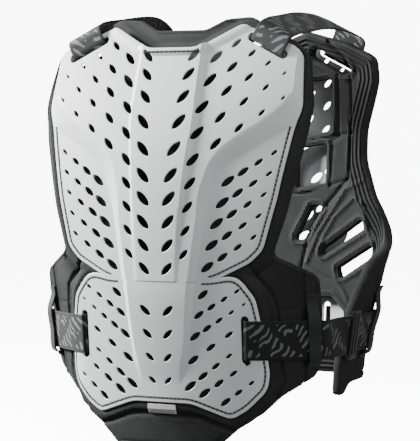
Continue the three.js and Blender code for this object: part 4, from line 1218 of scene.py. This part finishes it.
def shoulder_route(side):
    """Out of the near slot, over the shoulder and down into the far slot."""
    x = side * SHOULDER_SLOT
    ds = side * math.cos(SHOULDER_TILT) * STRAP_WIDTH / 2
    dz = -math.sin(SHOULDER_TILT) * STRAP_WIDTH / 2
    ends = []
    for panel, rows in ((FRONT, FRONT_RUN), (BACK, BACK_RUN)):
        slot_z = float(height_at(panel, 1)) - SLOT_DROP[panel["name"]]
        centres, acrosses = [], []
        for rise, ride in rows:
            s = x + side * math.sin(SHOULDER_TILT) * rise * MM
            z = slot_z + math.cos(SHOULDER_TILT) * rise * MM
            lift = OUTER_RIDGE + ride * MM
            width_way = spot(panel, s + ds, z + dz, lift) - spot(panel, s - ds, z - dz, lift)
            centres.append(spot(panel, s, z, lift))
            acrosses.append(width_way.normalized())
        ends.append((centres, acrosses))
    (front, front_across), (back, back_across) = ends
    top = Vector((x + side * SHOULDER_SWAY, 0, STRAP_THICKNESS / 2))
    across = Vector((ds, 0, dz)).normalized()
    swings = []
    for start, (way, rise) in ((front[-1], FRONT_SWING), (back[0], BACK_SWING)):
        p = start.lerp(top, way)
        p.z = start.z + (top.z - start.z) * rise
        swings.append(p)
    over = [swings[0], top, swings[1]]
    return Route([*front, *over, *back], [*front_across, across, across, across, *back_across])


HANDS = (("left", -1), ("right", 1))
for hand, side in HANDS:
    name = "shoulder_strap_" + hand
    band(name, shoulder_route(side), STRAP_WIDTH, STRAP_THICKNESS, WEBBING, "webbing", name)

# %% Side straps
SIDE_Z = WAIST - SIDE_STRAP_DROP
SLOT_EXIT = 8 * MM
SIDE_STEPS = 6
LINER_HALF = {"front": 1.192 * HALF_WIDTH, "back": 1.607 * HALF_WIDTH}
BUCKLE_Y = 8 * MM
UP = Vector((0, 0, 1))


def up_on(panel, s, z):
    """The upward direction that lies in the form's surface."""
    out = Vector(out_of(panel, np.array([s]), np.array([z]))[0])
    return (UP - out * out.z).normalized()


def side_points(side):
    """A side strap's route at one height, from the near slot round the side to the far slot."""
    centres, acrosses = [], []
    for panel in (FRONT, BACK):
        last = LINER_HALF[panel["name"]] - FOAM_GAP
        runs = [(-1.5 * MM, -PLATE_WALL), (-0.5 * MM, 0.2 * MM), (2.2 * MM, STRAP_LIFT + 0.5 * MM)]
        runs += [(SLOT_EXIT + (last - SIDE_SLOT - SLOT_EXIT) * k / SIDE_STEPS, STRAP_LIFT)
                 for k in range(SIDE_STEPS + 1)]
        rows = [(side * (SIDE_SLOT + ds), lift) for ds, lift in runs]
        rows = rows if panel is FRONT else rows[::-1]
        centres.append([spot(panel, s, SIDE_Z, lift) for s, lift in rows])
        acrosses.append([up_on(panel, s, SIDE_Z) for s, lift in rows])
    bridge = (centres[0][-1] + centres[1][0]) / 2 + Vector((side * STRAP_THICKNESS, 0, 0))
    return [*centres[0], bridge, *centres[1]], [*acrosses[0], UP, *acrosses[1]]


def buckle_share(points):
    """How far along the route the buckle's middle bar sits."""
    low, high = 0.0, 1.0
    while high - low > 1e-5:
        middle = (low + high) / 2
        if catmull(points, np.array([middle]))[0, 1] < BUCKLE_Y - SHOULDER_TOP.y:
            low = middle
        else:
            high = middle
    return low


BUCKLE_SEATS = {}
for hand, side in HANDS:
    points, acrosses = side_points(side)
    share = buckle_share(points)
    whole = Route(points, acrosses)
    gap = 0.4 * MM / whole.length
    for part, start, end in (("front", 0, share - gap), ("back", share + gap, 1)):
        name = "side_strap_" + part + "_" + hand
        route = Route(points, acrosses, start, end)
        band(name, route, STRAP_WIDTH, STRAP_THICKNESS, WEBBING, "webbing", name)
    BUCKLE_SEATS[hand] = (points, acrosses, share, whole.length)

# %% [markdown]
# ## Keepers and buckles
# A keeper is a short plain webbing sewn to the wing above and below the strap, which runs under it. The
# slide buckle is a flat moulded frame with a middle bar, seated on the webbing where its two ends meet.

# %% Keepers
KEEPER_WIDTH = 14 * MM
KEEPER_THICKNESS = 2 * MM
KEEPER_INSET = {"front": 12 * MM, "back": 56 * MM}
KEEPER_RISE = 9 * MM
KEEPER_HEIGHT = 84 * MM
KEEPER_CELL = 1.5 * MM


def keeper(name, panel, side):
    """A short band that lies on the wing, climbs over the strap and comes down again."""
    s = side * (LINER_HALF[panel["name"]] - KEEPER_INSET[panel["name"]])
    sewn = LINER_FACE + 1.4 * MM
    over = STRAP_LIFT + STRAP_THICKNESS / 2 + 1.2 * MM + KEEPER_THICKNESS / 2
    clear = STRAP_WIDTH / 2 + KEEPER_THICKNESS
    low, high = KEEPER_RISE - KEEPER_HEIGHT / 2, KEEPER_RISE + KEEPER_HEIGHT / 2
    rises = [(low, sewn), ((2 * low - clear) / 3, sewn), (-clear, over), (0, over), (clear, over),
             ((2 * high + clear) / 3, sewn), (high, sewn)]
    points = [spot(panel, s, SIDE_Z + rise, lift) for rise, lift in rises]
    out = Vector(out_of(panel, np.array([s]), np.array([SIDE_Z]))[0])
    across = up_on(panel, s, SIDE_Z).cross(out)
    route = Route(points, [across] * len(points))
    return band(name, route, KEEPER_WIDTH, KEEPER_THICKNESS, KEEPER_WEB, "keeper_webbing", name,
                cell=KEEPER_CELL)


for panel in (FRONT, BACK):
    for hand, side in HANDS:
        keeper("keeper_" + panel["name"] + "_" + hand, panel, side)

# %% Slide buckles
BUCKLE_LENGTH = 22 * MM
BUCKLE_HEIGHT = 58 * MM
BUCKLE_THICKNESS = 3.6 * MM
BUCKLE_BAR = 4 * MM
BUCKLE_RADIUS = 3 * MM
BUCKLE_RIM = [(0.9, -1.8), (0.25, -1.5), (0.0, -0.9), (0.0, 0.9), (0.25, 1.5), (0.9, 1.8)]
HOLE_RADIUS = 1.2 * MM
HOLE_RIM = [(0.9, -2.2), (0.5, -1.5), (0.0, -0.9), (0.0, 0.9), (0.5, 1.5), (0.9, 2.2)]


def box_outline(width, height, x, radius):
    """A rounded rectangle whose middle is moved sideways."""
    signs = ((-1, 1), (1, 1), (1, -1), (-1, -1))
    corners = [(x + a * width / 2, b * height / 2, radius) for a, b in signs]
    return clockwise(rounded(corners))


def buckle(hand, side):
    """A flat frame with two windows, cut, and then turned on to its seat on the webbing."""
    points, acrosses, share, length = BUCKLE_SEATS[hand]
    frame_shape = box_outline(BUCKLE_LENGTH, BUCKLE_HEIGHT, 0, BUCKLE_RADIUS)
    bm = bmesh.new()
    loft(bm, [(offset(frame_shape, inset * MM), lift * MM) for inset, lift in BUCKLE_RIM])
    tools = bmesh.new()
    window = (BUCKLE_LENGTH - 3 * BUCKLE_BAR) / 2
    for way in (-1, 1):
        x = way * (BUCKLE_BAR + window) / 2
        hole = box_outline(window, BUCKLE_HEIGHT - 2 * BUCKLE_BAR, x, HOLE_RADIUS)
        loft(tools, [(offset(hole, -grow * MM), lift * MM) for grow, lift in HOLE_RIM])
    bm = carved(bm, tools, "buckle")
    before, centre, after = (Vector(p) for p in catmull(points, share + np.array([-1e-4, 0, 1e-4])))
    across = Vector(unit(catmull(acrosses, np.array([share])))[0])
    ahead = after - before
    out = ahead.normalized().cross(across).normalized()
    if out.x * side < 0:
        out.negate()
    reach = BUCKLE_LENGTH / 2 / length
    beside = catmull(points, share + np.array([-1, -0.5, 0.5, 1]) * reach)
    under = [(Vector(p) - centre).dot(out) for p in beside]
    seat = centre + out * (max(0, *under) + STRAP_THICKNESS / 2 + 1 * MM + BUCKLE_THICKNESS / 2)
    turn = Matrix((across.cross(out), across, out)).transposed().to_4x4()
    bmesh.ops.transform(bm, matrix=Matrix.Translation(seat) @ turn, verts=bm.verts)
    bmesh.ops.recalc_face_normals(bm, faces=bm.faces)
    name = "side_buckle_" + hand
    return piece(name, bm, PLASTIC, "buckle", name)


for hand, side in HANDS:
    buckle(hand, side)

# %% Blank label tag
LABEL_WIDTH, LABEL_HEIGHT, LABEL_THICKNESS = 36 * MM, 11 * MM, 1.2 * MM
LABEL_RIM = 0.3 * MM
LABEL_LEVEL = -0.895
top = float(height_at(FRONT, LABEL_LEVEL)) - 2 * MM
middle = top - LABEL_HEIGHT / 2
shape = [(s, z + middle) for s, z in box_outline(LABEL_WIDTH, LABEL_HEIGHT, 0, 0.8 * MM)]
tag = bmesh.new()
tag_low = LINER_FACE + 0.4 * MM
tag_top = tag_low + LABEL_THICKNESS
loft(tag, [(shape, tag_low), (shape, tag_top - LABEL_RIM), (offset(shape, LABEL_RIM), tag_top)])
sliced(tag, steps(-LABEL_WIDTH / 2, LABEL_WIDTH / 2, 3 * MM)[1:], [middle])
wrapped(tag, FRONT, lambda s, z, lift: np.maximum(front_foam(s, z, np.zeros(len(s))), 0))
piece("label_tag", tag, TAPE, "label", "label_tag")

# %% [markdown]
# ## Stitches
# The plates are sewn to the foam along the grooves near their rims, with a heavy black thread. A stitch
# is a short six-sided cord that lies in the groove, and a gap parts it from the next one.

# %% Stitches in the grooves
STITCH_PITCH = 5.2 * MM
STITCH_LENGTH = 4.2 * MM
STITCH_RADIUS = 0.85 * MM
STITCH_SIDES = 6


def stitches(name, rows):
    """Every stitch as one mesh: short cords that lie along the grooves of the plates."""
    bm = bmesh.new()
    for panel, path, relief, lift in rows:
        p = np.array(even(path, STITCH_PITCH))
        for a, b in zip(p, p[1:]):
            way = (b - a) / np.linalg.norm(b - a)
            made = bmesh.ops.create_cone(bm, segments=STITCH_SIDES, radius1=1, radius2=1, depth=2,
                                         cap_ends=True, cap_tris=False)["verts"]
            middle = (a + b) / 2
            co = np.array([v.co for v in made])
            s = middle[0] + way[0] * co[:, 2] * STITCH_LENGTH / 2 - way[1] * co[:, 0] * STITCH_RADIUS
            z = middle[1] + way[1] * co[:, 2] * STITCH_LENGTH / 2 + way[0] * co[:, 0] * STITCH_RADIUS
            base = np.full(len(s), lift) + co[:, 1] * STITCH_RADIUS
            spots = place(panel, s, z, base + relief(s, z, base))
            for v, q in zip(made, spots):
                v.co = q
    return piece(name, bm, THREAD, "webbing")


rows = []
for panel, grooves, relief in STITCHED:
    for path in grooves:
        rows.append((panel, path, relief, -GROOVE_DEPTH + STITCH_RADIUS * 0.8))
stitches("plate_stitching", rows)

# %% [markdown]
# ## Light, camera and floor
# The photograph is a catalogue picture: a soft key from the left, a weak fill, and a white sweep that the
# object throws no shadow on. The camera stands 2.5 m away with a long lens, 26 degrees round to the side.

# %% Camera
CAMERA_AZIMUTH = math.radians(25.84)
CAMERA_HEIGHT = math.radians(2.26)
CAMERA_DISTANCE = 2.495
LENS = 169.8
AIM = Vector((0, -0.045, -0.240))
toward = Vector((math.sin(CAMERA_AZIMUTH) * math.cos(CAMERA_HEIGHT),
                 -math.cos(CAMERA_AZIMUTH) * math.cos(CAMERA_HEIGHT), math.sin(CAMERA_HEIGHT)))
camera_data = bpy.data.cameras.new("camera")
camera_data.lens = LENS
camera_data.sensor_width = 36
camera_data.shift_x = (210 - 209.4) / 441
camera_data.shift_y = (222.9 - 220.5) / 441
camera = bpy.data.objects.new("camera", camera_data)
camera.location = AIM + toward * CAMERA_DISTANCE
camera.rotation_euler = (-toward).to_track_quat("-Z", "Y").to_euler()
bpy.context.scene.collection.objects.link(camera)
bpy.context.scene.camera = camera
print("the camera stands at", [round(v, 2) for v in camera.location])

# %% White sweep
FLOOR_HEIGHT = -0.56
SWEEP = Finish("white_sweep", Base_Color=grey(0.9), Roughness=0.9, Emission_Color=grey(1.0),
               Emission_Strength=9.0)


def swept(name, bm):
    """Part of the sweep: it shows white in every view and lights nothing."""
    obj = as_object(name, bm)
    obj.data.materials.append(SWEEP.material)
    obj.visible_diffuse = obj.visible_glossy = obj.visible_shadow = False
    return obj


floor = bmesh.new()
bmesh.ops.create_grid(floor, x_segments=1, y_segments=1, size=7)
bmesh.ops.translate(floor, vec=(0, 0, FLOOR_HEIGHT), verts=floor.verts)
swept("floor", floor)
wall = bmesh.new()
bmesh.ops.create_cone(wall, segments=48, radius1=7, radius2=7, depth=12, cap_ends=True, cap_tris=False)
swept("backdrop", wall)
print("the floor is", round(-FLOOR_HEIGHT, 2), "m under the shoulders")

# %% Lights
world = bpy.data.worlds.new("studio")
world.use_nodes = True
world.node_tree.nodes["Background"].inputs["Color"].default_value = (1, 1, 1, 1)
world.node_tree.nodes["Background"].inputs["Strength"].default_value = 0.24
bpy.context.scene.world = world


def soft_light(name, azimuth, elevation, distance, size, power):
    """A round soft light that looks at the middle of the object."""
    data = bpy.data.lights.new(name, "AREA")
    data.shape = "DISK"
    data.size = size
    data.energy = power
    lamp = bpy.data.objects.new(name, data)
    a, e = math.radians(azimuth), math.radians(elevation)
    way = Vector((math.sin(a) * math.cos(e), -math.cos(a) * math.cos(e), math.sin(e)))
    lamp.location = AIM + way * distance
    lamp.rotation_euler = (-way).to_track_quat("-Z", "Y").to_euler()
    bpy.context.scene.collection.objects.link(lamp)


soft_light("key", -75, 25, 2.2, 0.6, 270)
soft_light("fill", 60, 10, 2.4, 1.4, 18)
soft_light("top", 0, 70, 2.0, 1.0, 22)
